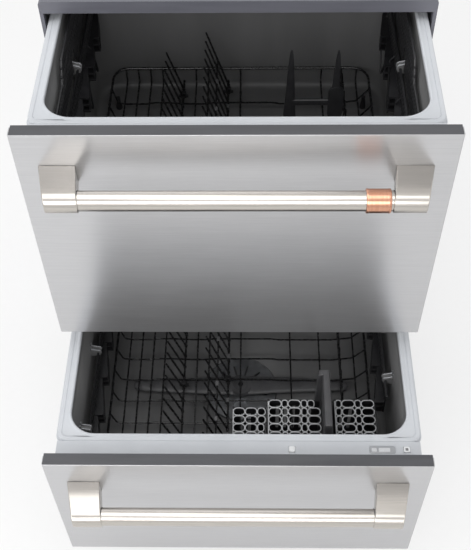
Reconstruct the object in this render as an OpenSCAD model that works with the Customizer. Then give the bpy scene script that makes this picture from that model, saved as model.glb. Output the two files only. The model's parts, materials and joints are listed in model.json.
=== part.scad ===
// Two-drawer built-in dishwasher, shown with both drawers pulled out.
// X runs left to right, Y runs from the front to the back, Z is up.
// The origin is on the floor, under the middle of the whole object's box.

/* [Body] */
// Width of the steel body
body_w = 599; // [580:1:640]
// Height from the floor to the top of the body
body_h = 864; // [850:1:900]
// Depth of the body from the front trim to the back
chassis_d = 552; // [548:1:600]
// Thickness of the body's sheet steel
sheet_t = 1.6; // [0.8:0.1:2]
// Outer radius of the body's two top edges
body_corner_r = 6; // [3:0.5:12]
// Height of the body's lower edge over the floor
body_low = 22; // [16:1:30]

/* [Front trim] */
// Height of the trim's top bar
trim_top_h = 20.7; // [16:0.1:22]
// Width of the trim's side legs
trim_leg_w = 5.5; // [4:0.1:6]
// Thickness of the trim from front to back
trim_t = 12; // [8:0.5:14]
// Height of the bar between the two drawers
mid_bar_h = 22; // [10:1:24]
// Height of the bar under the lower drawer
low_bar_h = 13; // [8:1:20]

/* [Base] */
// Height of the floor of the base tray
tray_z = 26; // [22:1:32]
// Thickness of the base tray's floor and walls
tray_wall = 3; // [2:0.5:5]
// Height of the base tray's side walls
tray_side_h = 20; // [12:1:30]
// Depth of the recess for hoses at the back, under the back panel
port_recess = 45; // [36:1:60]
// Distance of the back panel's lower edge over the tray's walls
panel_up = 50; // [40:1:70]
// Distance of the hose connections over the tray's walls
port_up = 12; // [8:1:24]
// Gap between the kick strip and the floor
kick_low = 12; // [10:1:20]
// Thickness of the kick strip
kick_t = 1.5; // [1:0.1:3]

/* [Feet] */
// Radius of a foot's pad
foot_r = 19; // [14:0.5:22]
// Height of a foot's pad
foot_h = 8; // [5:0.5:10]
// Radius of a foot's stud
stud_r = 5; // [4:0.5:6]
// Length of a foot's stud
stud_l = 58; // [50:1:62]
// Distance of the feet from the side of the body
foot_in = 38; // [30:1:60]
// Distance of the front feet from the front of the body
foot_front = 26; // [25:1:60]
// Distance of the back feet from the back of the body
foot_back = 68; // [66:1:90]

/* [Panels] */
// Height of the lower drawer's front panel
lower_panel_h = 314; // [300:1:330]
// Height of the lower panel's bottom edge over the floor
panel_low = 98; // [92:1:110]
// Gap between the two front panels
panel_gap = 4; // [2:0.5:8]
// Distance of the upper panel's top under the top of the body
panel_top_gap = 2; // [0:0.5:6]
// Distance of a panel's side inside the side of the body
panel_side_gap = 1; // [0:0.5:3]
// Thickness of a drawer front, steel skin and frame together
door_t = 20.6; // [18:0.1:24]
// Thickness of the steel skin
skin_t = 1.2; // [0.8:0.1:2]
// Depth of the skin's folded sides
skin_return = 16; // [8:1:18]
// Wall of the dark frame behind the skin
frame_wall = 3; // [2:0.5:5]
// Height of the frame's solid top strip
frame_top_h = 14; // [10:1:20]

/* [Drawer travel] */
// Distance from the trim to the upper drawer's front, as it stands
upper_out = 287; // [100:1:540]
// Distance from the trim to the lower drawer's front, as it stands
lower_out = 531; // [100:1:540]
// Gap between a closed drawer front and the trim
closed_gap = 2; // [1:0.5:5]

/* [Handles] */
// Radius of the handle bar
bar_r = 13.9; // [10:0.1:14.5]
// Radius of a handle post's round nose
nose_r = 16; // [15:0.1:18]
// Distance of the bar's axis in front of the panel
bar_out = 51; // [40:1:60]
// Distance of the bar's axis under the panel's top
bar_down = 70; // [60:1:90]
// Outer half width over both posts, at the panel
post_outer_back = 267.5; // [262:0.5:280]
// Outer half width over both posts, at the nose
post_outer_nose = 252.5; // [248:0.5:260]
// Inner half width between both posts, at the panel
post_inner_back = 216.5; // [212:0.5:225]
// Inner half width between both posts, at the nose
post_inner_nose = 207.5; // [204:0.5:212]
// Depth of the bar's seat in a post
bar_seat = 12; // [8:1:16]
// Radius of the copper ring on the upper handle
ring_r = 16.7; // [15:0.1:17.5]
// Length of the copper ring
ring_l = 33; // [20:1:50]

/* [Tub] */
// Distance of a drawer's rim under its panel's top
rim_drop = 35; // [33:0.5:40]
// Gap between the upper drawer's motor and the bar that it passes over
upper_motor_gap = 24; // [10:1:40]
// Gap between the lower drawer's motor and the bar that it passes over
lower_motor_gap = 8; // [6:1:14]
// Distance from the panel's front to the start of the rim
rim_front = 61; // [56:0.5:62]
// Distance from the panel's front to the tub's opening
open_front = 74.4; // [74:0.1:80]
// Length of the tub's opening from front to back
open_l = 445; // [440:1:450]
// Radius of the opening's corners
open_r = 42; // [30:1:60]
// Width of the rim beside the opening
rim_border = 19; // [17:0.5:21]
// Width of the rim behind the opening
rim_back = 14; // [10:0.5:18]
// Thickness of the rim
rim_t = 4; // [3:0.5:6]
// Depth of the rim's skirt
skirt_h = 14; // [10:0.5:20]
// Thickness of the rim's skirt
skirt_t = 2.5; // [2:0.1:4]
// How far the skirt's lower lip turns out
lip_out = 2.8; // [2:0.1:3.2]
// Gap between that lip and the trim's legs
lip_gap = 1.2; // [0.8:0.1:2]
// Height of the bead round the opening
bead_h = 1.5; // [0.5:0.1:2.5]
// Width of the bead round the opening
bead_w = 5; // [3:0.5:8]
// Wall of the tub
tub_wall = 3; // [2:0.5:3.5]
// Radius of the sump
sump_r = 70; // [62:1:80]
// Depth of the sump under the tub's floor
sump_depth = 14; // [12:1:16]
// Distance from the middle to the ribs that carry a drawer's front
rib_x = 150; // [120:1:180]
// Width of those ribs
rib_w = 80; // [40:1:100]

/* [Wash system] */
// Radius of the wash motor
motor_r = 60; // [50:1:70]
// Height of the wash motor
motor_h = 30; // [24:1:32]
// Radius of the motor's shaft
shaft_r = 5; // [4:0.5:7]
// Radial gap round the shaft in the tub's floor
shaft_gap = 1; // [0.5:0.1:2]
// Radius swept by the spray arm
spray_r = 205; // [150:1:212]
// Width of the spray arm's blades at their tips
spray_tip_w = 24; // [14:1:30]
// Radius of the spray arm's hub
hub_r = 23; // [16:1:26]
// Thickness of the spray arm
spray_h = 9; // [6:0.5:10]
// Height of the spray arm over the tub's floor
spray_lift = 6; // [4:0.5:8]
// Thickness of the filter plate
filter_t = 3; // [2:0.5:4]
// Gap round the filter plate
filter_gap = 1.5; // [1:0.5:3]
// Radius of the filter's cup
filter_cup_r = 16; // [10:1:20]
// Depth of the filter's cup
filter_cup_h = 8; // [5:0.5:9]

/* [Controls] */
// Height of the control strip's housing
strip_h = 22; // [16:1:24]
// Wall of the control strip's housing
strip_wall = 2.5; // [2:0.1:4]
// Width of a square button
button_w = 10; // [8:0.5:12]
// Height of a button over the strip
button_up = 2; // [1.8:0.1:3]
// Gap round a button
button_gap = 0.4; // [0.3:0.1:0.8]
// Distance of the power button right of the middle
power_x = 85; // [60:1:100]
// Distance of the start button from the right end of its strip
start_in = 22.5; // [18:0.5:28]
// Distance of the buttons behind the panel's front
button_y = 47; // [44:0.5:48]
// Width of the display window
display_w = 42; // [30:1:46]
// Depth of the display window from front to back
display_l = 14; // [10:0.5:16]
// Distance of the display window's middle from the right end of its strip
display_in = 60.5; // [58:0.5:80]

/* [Lids] */
// Height of a lid's pan
lid_h = 14; // [10:0.5:15]
// Wall of a lid's pan
lid_wall = 2.5; // [2:0.1:4]
// Travel of a lid from raised to closed
lid_travel = 12; // [8:0.5:12]
// Gap left between the seal and the rim's bead when the lid is down
seal_gap = 0.5; // [0.3:0.1:1]
// Height of a lid's seal
seal_h = 3; // [2:0.5:4]
// Width of a lid's seal
seal_w = 9; // [6:0.5:12]
// Distance from a lid's front to its first guide pin
pin_front = 30; // [24:1:60]
// Distance from a lid's back to its second guide pin
pin_back = 60; // [24:1:80]
// Radius of a lid's guide pins
lid_pin_r = 3; // [2:0.5:4]
// Gap round a guide pin in its slot
pin_gap = 0.35; // [0.3:0.05:0.6]

/* [Rails] */
// Height of the fixed rails
rail_h = 46; // [42:1:50]
// Length of every rail
rail_l = 480; // [440:1:490]
// Thickness of the rails' steel
rail_t = 1.5; // [1.2:0.1:2]
// Gap between one rail and the next inside it
rail_gap = 1.5; // [1:0.1:2]
// Depth of a moving rail from its web to its lips
rail_lip = 5; // [4:0.1:6]
// Distance of the rails' middle under the rim
rail_down = 60; // [50:1:80]
// Distance from a drawer rail's front to the first boss that carries it
boss_from = 110; // [80:1:150]
// Distance from that boss to the second one
boss_span = 290; // [240:1:300]
// Length of a boss
boss_l = 50; // [30:1:60]

/* [Dish racks] */
// Thickness of the racks' wires
wire_t = 3.2; // [2.6:0.1:4]
// Height of the rack's floor over the tub's floor
rack_lift = 24; // [22:0.5:28]
// Radius of the rack's corners
rack_r = 30; // [20:1:34]
// Height of the rack's side loop over its floor
loop_up = 30; // [24:1:34]
// Gap between the rack and the tub's wall
rack_gap = 32; // [28:1:36]
// Gap between the rack and the tub's front and back
rack_end_gap = 15; // [12:1:20]
// Distance between the rack's long wires on the left
long_pitch = 23; // [18:0.5:30]
// Distance between the rack's cross wires
cross_pitch = 47; // [36:1:60]
// Radius of a tine
tine_r = 1.9; // [1.4:0.1:2.4]
// Distance between the tines of a row
tine_pitch = 24.5; // [20:0.5:32]
// Distance from the rack's end to the nearest tine of a row
tine_end = 16; // [12:1:30]
// Height of the wire that ties the right row's tines over their rod
tie_up = 62; // [40:1:76]
// Lean of the tines to the left, in degrees
tine_lean = 17.5; // [8:0.5:22]
// Length of the tines in the left rows
left_tine_l = 92; // [60:1:94]
// Length of the tines in the right rows
right_tine_l = 128; // [80:1:130]
// Distance of the left tine row left of the middle
left_row_x = 107; // [100:1:112]
// Distance of the right tine row left of the middle
right_row_x = 23; // [20:1:30]
// Radius of a tine row's hinge rod
rod_r = 2.2; // [1.8:0.1:2.8]
// Radial running gap round a hinge rod
run_gap = 0.05; // [0.02:0.01:0.1]
// Height of the fixed row of short tines on the right
short_tine_l = 52; // [30:1:80]
// Distance of that row right of the middle
short_row_x = 190; // [160:1:200]
// Distance of the upper drawer's two fins under the rim
upper_fin_down = 55; // [24:1:100]
// Height of the bar between those fins over the rack's floor
fin_bar_up = 131; // [60:1:140]
// Height of that bar itself
fin_bar_h = 12; // [8:1:20]
// Distance of the upper drawer's two fins right of the middle
upper_fin_x = 84; // [70:1:90]
// Distance from one of those fins to the other
upper_fin_gap = 74; // [60:1:76]
// Width of a tall fin at its foot
fin_w = 26; // [16:1:30]
// Thickness of a tall fin
fin_t = 6; // [4:0.5:9]

/* [Cup racks] */
// Distance of a cup rack's hinge under the rim
cup_down = 95; // [90:1:110]
// Distance of a cup rack's hinge from the tub's wall
cup_in = 13; // [11:0.5:16]
// Radius of a cup rack's hinge rod
cup_rod_r = 2.5; // [2:0.1:3]
// Height of a cup rack's leaf as it hangs
cup_leaf_h = 60; // [45:1:64]
// Thickness of the leaf
cup_leaf_t = 3; // [2:0.5:4]
// Depth of a tooth at its shallow end
tooth_low = 7; // [4:0.5:10]
// Depth of a tooth at its deep end
tooth_high = 17; // [12:0.5:18]
// Distance from one tooth to the next
tooth_pitch = 78; // [60:1:100]
// Height of a tooth
tooth_h = 30; // [16:1:40]
// Length of a cup rack
cup_l = 395; // [340:1:400]
// Length of the shorter cup rack beside the cutlery baskets
cup_short_l = 290; // [230:1:294]

/* [Cutlery baskets] */
// Distance of the baskets' tops under the rim
basket_down = 88; // [86:1:100]
// Wall of a basket
basket_wall = 2; // [1.5:0.1:3]
// Distance of the clips between the baskets behind the baskets' front
clip_from = 30; // [10:1:50]
// Length of a clip
clip_l = 20; // [10:1:28]
// Height of a clip, and of the floor of the hollow grip
clip_h = 8; // [4:1:14]
// Width of the left basket
basket_a_w = 58; // [40:1:60]
// Width of the middle basket
basket_b_w = 93; // [70:1:96]
// Width of the right basket
basket_c_w = 71; // [50:1:72]
// Distance of the left basket's side left of the middle
basket_a_x = 12; // [8:1:15]
// Gap between the left and the middle basket
basket_gap = 2.5; // [2:0.5:5]
// Gap between the middle and the right basket, for the grip
handle_gap = 22; // [20:1:23]
// Depth of the left basket from front to back
basket_a_l = 80; // [60:1:90]
// Depth of the middle and the right basket
basket_bc_l = 96; // [70:1:100]
// Distance of the baskets' grip under the rim
grip_down = 8; // [6:1:30]
// Width of the grip at its top
grip_w = 12.5; // [10:0.5:14]
// Length of the grip behind the baskets
grip_back = 12; // [8:1:14]
// Size of the corner that the middle basket leaves to the grip's foot
grip_notch = 11; // [8:0.5:12]
// Thickness of a basket's lid and of its hinge pin
basket_lid_t = 2.4; // [1.6:0.1:3]
// Gap between a basket and its lid
basket_lid_gap = 0.4; // [0.2:0.1:0.8]
// Length of the lugs that hold a lid's hinge pin
lid_lug_l = 4; // [3:0.5:6]
// Distance from one row of lid holes to the next
cell_pitch = 15; // [12:0.5:20]
// Width of a wide lid hole
wide_cell = 20; // [12:0.5:21]
// Width of a narrow lid hole
narrow_cell = 7; // [4:0.5:8]
// Width of a hole in the left basket's lid
left_cell = 15; // [10:0.5:16]
// Width of the bars between lid holes
cell_bar = 3; // [2:0.25:4]

/* [Dispenser] */
// Width of the detergent dispenser
disp_w = 132; // [126:1:150]
// Height of the dispenser
disp_h = 84; // [60:1:90]
// Depth of the dispenser from front to back
disp_t = 16; // [12:0.5:18]
// Width of the dispenser's cup
cup_w = 54; // [40:1:58]
// Height of the dispenser's cup
cup_h = 48; // [30:1:52]
// Distance of the dispenser's middle left of the middle
disp_x = 100; // [90:1:110]
// Distance of the dispenser's top under the rim
disp_down = 42; // [36:1:50]
// Thickness of the dispenser's sliding door
slide_t = 2.2; // [1.5:0.1:3]

/* [Connections] */
// Outer radius of the water inlet's thread
inlet_r = 13.2; // [10:0.1:14]
// Length of the water inlet's thread
inlet_l = 18; // [12:1:22]
// Outer radius of the drain spigot
drain_r = 9.5; // [8:0.5:12]
// Length of the drain spigot
drain_l = 30; // [20:1:32]
// Radius of the lead's hole in its gland
gland_bore_r = 4; // [3:0.1:5]
// Outer radius of the gland
gland_r = 11; // [9:0.5:14]
// Length of the gland
gland_l = 16; // [10:1:20]
// Distance of the water inlet left of the middle
inlet_x = 190; // [160:1:200]
// Distance of the drain spigot left of the middle
drain_x = 130; // [100:1:140]
// Distance of the lead's gland right of the middle
gland_x = 190; // [150:1:220]
// Radius of the fixing holes in the sides of the body
fix_hole_r = 2.5; // [2:0.1:4]
// Distance of the fixing holes behind the front of the body
fix_hole_y = 30; // [20:1:40]
// Distance of a fixing hole under the middle of the rails
fix_hole_down = 60; // [50:1:80]

/* [Hidden] */
$fn = 64;
UPPER = 0;
LOWER = 1;
LEFT = -1;
RIGHT = 1;
eps = 0.5;

// The front of the body lies here, so that the whole box is centred on Y
bar_front = lower_out + bar_out + nose_r;
trim_y = (bar_front - chassis_d) / 2;
back_y = trim_y + chassis_d;

// Heights of the two drawers
upper_top = body_h - panel_top_gap;
lower_top = panel_low + lower_panel_h;
upper_panel_h = upper_top - lower_top - panel_gap;
mid_bar_z = lower_top + panel_gap / 2;
low_bar_top = panel_low - 1;
function panel_h(d) = d == UPPER ? upper_panel_h : lower_panel_h;
function panel_top(d) = d == UPPER ? upper_top : lower_top;
function rim_z(d) = panel_top(d) - rim_drop;
// A tub is as deep as its motor leaves room for over the bar under it
function motor_low(d) =
    d == UPPER ? mid_bar_z + mid_bar_h + upper_motor_gap : low_bar_top + lower_motor_gap;
function tub_depth(d) = rim_z(d) - motor_low(d) - motor_h - sump_depth - tub_wall;
function out(d) = d == UPPER ? upper_out : lower_out;
function front_y(d) = trim_y - out(d);
// How far a drawer stands out from its closed place
function drawer_shift(d) = out(d) - door_t - closed_gap;

// Half widths, from the side of the body inwards
half_w = body_w / 2;
inner_half = half_w - sheet_t;
leg_half = half_w - trim_leg_w;
lip_half = leg_half - lip_gap;
rim_half = lip_half - lip_out;
open_half = rim_half - rim_border;
panel_half = half_w - panel_side_gap;
rack_half = open_half - rack_gap;
lid_half = rim_half - skirt_t;
open_mid = open_front + open_l / 2;
open_back = open_front + open_l;
rim_end = open_back + rim_back;
rack_front = open_front + rack_end_gap;
rack_back = open_back - rack_end_gap;

dark_trim = [0.27, 0.27, 0.30];
steel = [0.74, 0.74, 0.75];
zinc = [0.66, 0.67, 0.69];
rim_grey = [0.80, 0.82, 0.84];
tub_grey = [0.24, 0.24, 0.25];
rack_black = [0.10, 0.10, 0.11];
nickel = [0.80, 0.77, 0.73];
copper = [0.78, 0.48, 0.34];
pale = [0.78, 0.79, 0.80];
black = [0.12, 0.12, 0.13];

// Moves a drawer's own frame, with its panel front and its rim at zero, to its place
module at_drawer(d) {
    translate([0, front_y(d), rim_z(d)]) children();
}

module both_sides() {
    children();
    mirror([1, 0, 0]) children();
}

// A flat rectangle with round corners, centred
module round_rect(w, l, r) {
    square([w - 2 * r, l], center = true);
    square([w, l - 2 * r], center = true);
    for (x = [-1, 1], y = [-1, 1])
        translate([x * (w / 2 - r), y * (l / 2 - r)]) circle(r = r);
}

// A box from its lowest to its highest corner
module box(lo, hi) {
    translate(lo) cube(hi - lo);
}

module rod_y(x, z, r, y0, y1) {
    translate([x, y0, z]) rotate([-90, 0, 0]) cylinder(r = r, h = y1 - y0);
}

module rod_x(y, z, r, x0, x1) {
    translate([x0, y, z]) rotate([0, 90, 0]) cylinder(r = r, h = x1 - x0);
}

// ---------------------------------------------------------------- body

wrap_front = trim_y + trim_t;

module wrap_outline(inset) {
    r = body_corner_r - inset;
    w = half_w - inset;
    top = body_h - inset;
    polygon([[-w, body_low], [w, body_low], [w, top - r], [-w, top - r]]);
    translate([-w + r, top - r - eps]) square([2 * (w - r), r + eps]);
    for (x = [-1, 1]) translate([x * (w - r), top - r]) circle(r = r);
}

module chassis_wrap() {
    color(zinc) difference() {
        translate([0, back_y, 0]) rotate([90, 0, 0])
            linear_extrude(back_y - wrap_front) wrap_outline(0);
        translate([0, back_y + eps, 0]) rotate([90, 0, 0])
            linear_extrude(back_y - wrap_front + 2 * eps)
            union() {
                wrap_outline(sheet_t);
                translate([-inner_half, 0]) square([2 * inner_half, body_low + eps]);
            }
        for (d = [UPPER, LOWER])
            rod_x(trim_y + fix_hole_y, rim_z(d) - rail_down - fix_hole_down, fix_hole_r,
                -half_w - eps, half_w + eps);
    }
}

panel_low_z = tray_z + tray_side_h + panel_up;

module back_panel() {
    color(zinc) translate([0, back_y, 0]) rotate([90, 0, 0]) linear_extrude(sheet_t)
        intersection() {
            wrap_outline(sheet_t);
            translate([-inner_half, panel_low_z]) square([2 * inner_half, body_h]);
        }
}

tray_front = trim_y + trim_t + kick_t;
tray_back = back_y - port_recess;
port_z = tray_z + tray_side_h + port_up;

module foot_places() {
    for (x = [-1, 1], y = [trim_y + foot_front, back_y - foot_back])
        translate([x * (half_w - foot_in), y, 0]) children();
}

module base_tray() {
    top = tray_z + tray_side_h;
    color("silver") difference() {
        union() {
            difference() {
                box([-inner_half, tray_front, tray_z - tray_wall],
                    [inner_half, tray_back, top]);
                box([-inner_half + tray_wall, tray_front + tray_wall, tray_z],
                    [inner_half - tray_wall, tray_back - tray_wall, top + eps]);
            }
            box([-inner_half, tray_back - tray_wall, tray_z - tray_wall],
                [inner_half, tray_back, panel_low_z + 2 * tray_wall]);
            box([-inner_half, tray_back - eps, panel_low_z],
                [inner_half, back_y - sheet_t, panel_low_z + tray_wall]);
            foot_places() translate([0, 0, tray_z - tray_wall])
                cylinder(r = stud_r + 2 * tray_wall, h = tray_side_h);
        }
        foot_places() cylinder(r = stud_r + run_gap, h = body_h / 2);
        // Ways through the back wall for water in, water out and the lead
        for (port = [[-inlet_x, inlet_r - 5], [-drain_x, drain_r - 2], [gland_x, gland_bore_r + 2]])
            rod_y(port[0], port_z, port[1], tray_back - tray_wall - eps, tray_back + eps);
    }
}

// The bars and legs round the two bays, with a kick plate behind the lowest bar
module front_trim() {
    color(dark_trim) {
        box([-inner_half, wrap_front, kick_low],
            [inner_half, wrap_front + kick_t, low_bar_top - low_bar_h / 2]);
        translate([0, wrap_front, 0]) rotate([90, 0, 0]) linear_extrude(trim_t)
            intersection() {
                wrap_outline(0);
                union() {
                    translate([-half_w, body_h - trim_top_h])
                        square([body_w, trim_top_h]);
                    for (x = [-half_w, leg_half])
                        translate([x, low_bar_top - low_bar_h])
                            square([trim_leg_w, body_h - low_bar_top]);
                    translate([-half_w, mid_bar_z]) square([body_w, mid_bar_h]);
                    translate([-half_w, low_bar_top - low_bar_h])
                        square([body_w, low_bar_h]);
                }
            }
    }
}

module levelling_feet() {
    color("silver") foot_places() {
        cylinder(r = foot_r, h = foot_h);
        translate([0, 0, foot_h - eps]) cylinder(r = stud_r, h = stud_l + eps);
    }
}

module water_inlet() {
    color(pale) translate([-inlet_x, 0, port_z]) difference() {
        union() {
            rod_y(0, 0, inlet_r, tray_back, tray_back + inlet_l);
            rod_y(0, 0, inlet_r + 3, tray_back, tray_back + 5);
        }
        rod_y(0, 0, inlet_r - 5, tray_back - eps, tray_back + inlet_l + eps);
    }
}

module drain_spigot() {
    color(pale) translate([-drain_x, 0, port_z]) difference() {
        union() {
            rod_y(0, 0, drain_r, tray_back, tray_back + drain_l);
            rod_y(0, 0, drain_r + 4, tray_back, tray_back + 4);
        }
        rod_y(0, 0, drain_r - 2, tray_back - eps, tray_back + drain_l + eps);
    }
}

module power_gland() {
    color(black) translate([gland_x, 0, port_z]) difference() {
        rod_y(0, 0, gland_r, tray_back, tray_back + gland_l);
        rod_y(0, 0, gland_bore_r, tray_back - eps, tray_back + gland_l + eps);
    }
}

module rear_connections() {
    water_inlet();
    drain_spigot();
    power_gland();
}

// ---------------------------------------------------------------- rails

// The rails nest: the fixed rail holds the middle rail, which holds the drawer's rail
mid_web = leg_half - 0.7;
own_web = mid_web - rail_t - rail_gap / 3;
mid_rail_h = rail_h - 2 * rail_t - 2 * rail_gap;
own_rail_h = mid_rail_h - 2 * rail_t - 2 * rail_gap;
rail_start = trim_t + 2;

// A channel on the right, open to the inside, with its web's outer face at x
module channel(x, h, lip, y0) {
    difference() {
        box([x - lip, y0, -h / 2], [x, y0 + rail_l, h / 2]);
        box([x - lip - eps, y0 - eps, -h / 2 + rail_t],
            [x - rail_t, y0 + rail_l + eps, h / 2 - rail_t]);
    }
}

module rails_at(d, shift) {
    translate([0, trim_y + rail_start - shift, rim_z(d) - rail_down])
        both_sides() children();
}

module cabinet_rails() {
    color(zinc) for (d = [UPPER, LOWER]) rails_at(d, 0)
        channel(inner_half, rail_h, inner_half - mid_web + rail_lip - rail_t, 0);
}

module mid_rails(d) {
    color(steel) rails_at(d, drawer_shift(d) / 2)
        channel(mid_web, mid_rail_h, rail_lip, 0);
}

// ---------------------------------------------------------------- lids

seal_low = bead_h + seal_gap + lid_travel;
lid_low = seal_low + seal_h;
lid_front = rim_front - door_t - closed_gap + 2;
lid_back = rim_end - door_t - closed_gap + 2;
pin_up = lid_low + lid_h / 2;
guide_places = [lid_front + pin_front, lid_back - pin_back];
guide_l = 26;

module lid_guides() {
    slot = lid_pin_r + pin_gap;
    color(pale) for (d = [UPPER, LOWER])
        translate([0, trim_y, rim_z(d)]) both_sides() for (y = guide_places)
            difference() {
                box([lid_half + 1.2, y - guide_l / 2, pin_up - lid_travel - slot - 4],
                    [inner_half, y + guide_l / 2, pin_up + slot + 3]);
                box([lid_half, y - slot, pin_up - lid_travel - slot],
                    [inner_half - 2, y + slot, pin_up + slot]);
            }
}

module lid(d) {
    w = 2 * lid_half;
    l = lid_back - lid_front;
    color(rim_grey) translate([0, trim_y, rim_z(d)]) {
        difference() {
            translate([0, (lid_front + lid_back) / 2, lid_low])
                linear_extrude(lid_h) round_rect(w, l, 18);
            translate([0, (lid_front + lid_back) / 2, lid_low + lid_wall])
                linear_extrude(lid_h)
                round_rect(w - 2 * lid_wall, l - 2 * lid_wall, 18 - lid_wall);
        }
        both_sides() for (y = guide_places)
            rod_x(y, pin_up, lid_pin_r, lid_half - lid_wall, inner_half - 4);
        // The seal's ring lies over the rim's bead
        translate([0, open_mid - door_t - closed_gap, seal_low]) difference() {
            linear_extrude(seal_h)
                round_rect(2 * open_half + 2 * seal_w, open_l + 2 * seal_w, open_r + seal_w);
            translate([0, 0, -eps]) linear_extrude(seal_h + 2 * eps)
                round_rect(2 * open_half, open_l, open_r);
        }
    }
}

// ---------------------------------------------------------------- tub and rim

cup_x = open_half - cup_in;
lug_half = cup_rod_r + 2;
lug_w = 12;
// A lug reaches from the far side of the rod into the tub's wall
lug_reach = cup_in + lug_half + tub_wall / 2;
lug_mid = cup_x - lug_half + lug_reach / 2;
boss_z = -rail_down;
boss_start = door_t + closed_gap + rail_start + boss_from;

// Where a cup rack starts and ends along the drawer
function cup_from(d, side) =
    d == LOWER && side == RIGHT ? open_back - 25 - cup_short_l : open_mid - cup_l / 2;
function cup_to(d, side) =
    d == LOWER && side == RIGHT ? open_back - 25 : open_mid + cup_l / 2;
function lug_places(d, side) =
    let (a = cup_from(d, side) + 35, b = cup_to(d, side) - 35) [a, (a + b) / 2, b];

module opening(extra) {
    translate([0, open_mid]) round_rect(
        2 * (open_half + extra), open_l + 2 * extra, open_r + extra);
}

module tub(d) {
    depth = tub_depth(d);
    color(tub_grey) at_drawer(d) {
        difference() {
            union() {
                translate([0, 0, -depth - tub_wall])
                    linear_extrude(depth + tub_wall - rim_t) opening(tub_wall);
                translate([0, open_mid, -depth - sump_depth - tub_wall])
                    cylinder(r = sump_r + tub_wall, h = sump_depth + tub_wall + eps);
                // Bosses that carry the drawer's rails
                both_sides() for (y = [boss_start, boss_start + boss_span])
                    box([open_half + tub_wall - 1, y, boss_z - 12],
                        [own_web - rail_t, y + boss_l, boss_z + 12]);
                // Ribs that carry the drawer front
                both_sides() for (z = [-depth + 12, -strip_h - 34])
                    box([rib_x, door_t, z],
                        [rib_x + rib_w, open_front - tub_wall + 1, z + 14]);
            }
            translate([0, 0, -depth]) linear_extrude(depth + eps) opening(0);
            translate([0, open_mid, -depth - sump_depth])
                cylinder(r = sump_r, h = sump_depth + eps);
            translate([0, open_mid, -depth - sump_depth - tub_wall - eps])
                cylinder(r = shaft_r + shaft_gap, h = tub_wall + 2 * eps);
        }
        // Lugs that hold the cup racks' hinge rods
        for (side = [LEFT, RIGHT], y = lug_places(d, side)) difference() {
            box([side * lug_mid - lug_reach / 2, y - lug_w / 2, -cup_down - lug_half],
                [side * lug_mid + lug_reach / 2, y + lug_w / 2, -cup_down + lug_half]);
            rod_y(side * cup_x, -cup_down, cup_rod_r + run_gap,
                y - lug_w / 2 - eps, y + lug_w / 2 + eps);
        }
    }
}

module rim(d) {
    len = rim_end - rim_front;
    mid = (rim_end + rim_front) / 2;
    color(rim_grey) at_drawer(d) {
        difference() {
            union() {
                translate([0, mid, -rim_t]) linear_extrude(rim_t)
                    round_rect(2 * rim_half - 6, len - 0.4, 16);
                translate([0, mid, -skirt_h]) linear_extrude(skirt_h - 2)
                    round_rect(2 * rim_half, len, 18);
                translate([0, mid, -skirt_h]) linear_extrude(2)
                    round_rect(2 * lip_half, len, 18);
                translate([0, 0, -rim_t]) linear_extrude(rim_t + bead_h) opening(bead_w);
            }
            translate([0, mid, -skirt_h - eps]) linear_extrude(skirt_h - rim_t + eps)
                round_rect(2 * rim_half - 2 * skirt_t, len - 2 * skirt_t, 16);
            translate([0, 0, -skirt_h - eps])
                linear_extrude(skirt_h + bead_h + 2 * eps) opening(0);
        }
    }
}

// ---------------------------------------------------------------- drawer front

module front_panel(d) {
    h = panel_h(d);
    color(steel) at_drawer(d) translate([0, 0, rim_drop - h]) {
        box([-panel_half, 0, 0], [panel_half, skin_t, h]);
        both_sides() box([panel_half - skin_t, 0, 0], [panel_half, skin_return, h]);
        box([-panel_half, 0, 0], [panel_half, skin_return, skin_t]);
    }
}

module door_frame(d) {
    h = panel_h(d);
    half = panel_half - skin_t - 0.1;
    low = rim_drop - h + skin_t + 0.1;
    pocket = (2 * half - 4 * frame_wall) / 3;
    color(dark_trim) at_drawer(d) difference() {
        box([-half, skin_t, low], [half, door_t, rim_drop - 0.4]);
        for (k = [-1, 0, 1]) translate([k * (pocket + frame_wall), 0, 0])
            box([-pocket / 2, skin_t + frame_wall, low + frame_wall],
                [pocket / 2, door_t + eps, rim_drop - frame_top_h]);
    }
}

module handle_posts(d) {
    far = bar_out + nose_r + eps;
    color(nickel) at_drawer(d) translate([0, 0, rim_drop - bar_down]) both_sides()
        difference() {
            intersection() {
                union() {
                    box([post_inner_nose - 5, -bar_out, -nose_r],
                        [post_outer_back + 5, 0, nose_r]);
                    rod_x(-bar_out, 0, nose_r, post_inner_nose - 5, post_outer_back + 5);
                }
                translate([0, 0, -nose_r - eps]) linear_extrude(2 * nose_r + 2 * eps)
                    polygon([[post_inner_back, 0], [post_outer_back, 0],
                        [post_outer_nose, -far], [post_inner_nose, -far]]);
            }
            rod_x(-bar_out, 0, bar_r + run_gap, 0, post_inner_back + bar_seat / 2);
        }
}

module handle_bar(d) {
    half = post_inner_back + bar_seat / 2 - 0.5;
    color(nickel) at_drawer(d) translate([0, 0, rim_drop - bar_down])
        rod_x(-bar_out, 0, bar_r, -half, half);
}

module handle_ring() {
    color(copper) at_drawer(UPPER) translate([0, 0, rim_drop - bar_down]) difference() {
        rod_x(-bar_out, 0, ring_r, post_inner_nose - 2.5 - ring_l, post_inner_nose - 2.5);
        rod_x(-bar_out, 0, bar_r + run_gap, 0, post_inner_nose);
    }
}

// ---------------------------------------------------------------- controls

strip_half = lid_half;
start_x = strip_half - start_in;
display_x = strip_half - display_in;
strip_front = door_t;
strip_back = rim_front;

module button_hole(x) {
    w = button_w + 2 * button_gap;
    box([x - w / 2, button_y - w / 2, -strip_wall - eps],
        [x + w / 2, button_y + w / 2, eps]);
}

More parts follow.
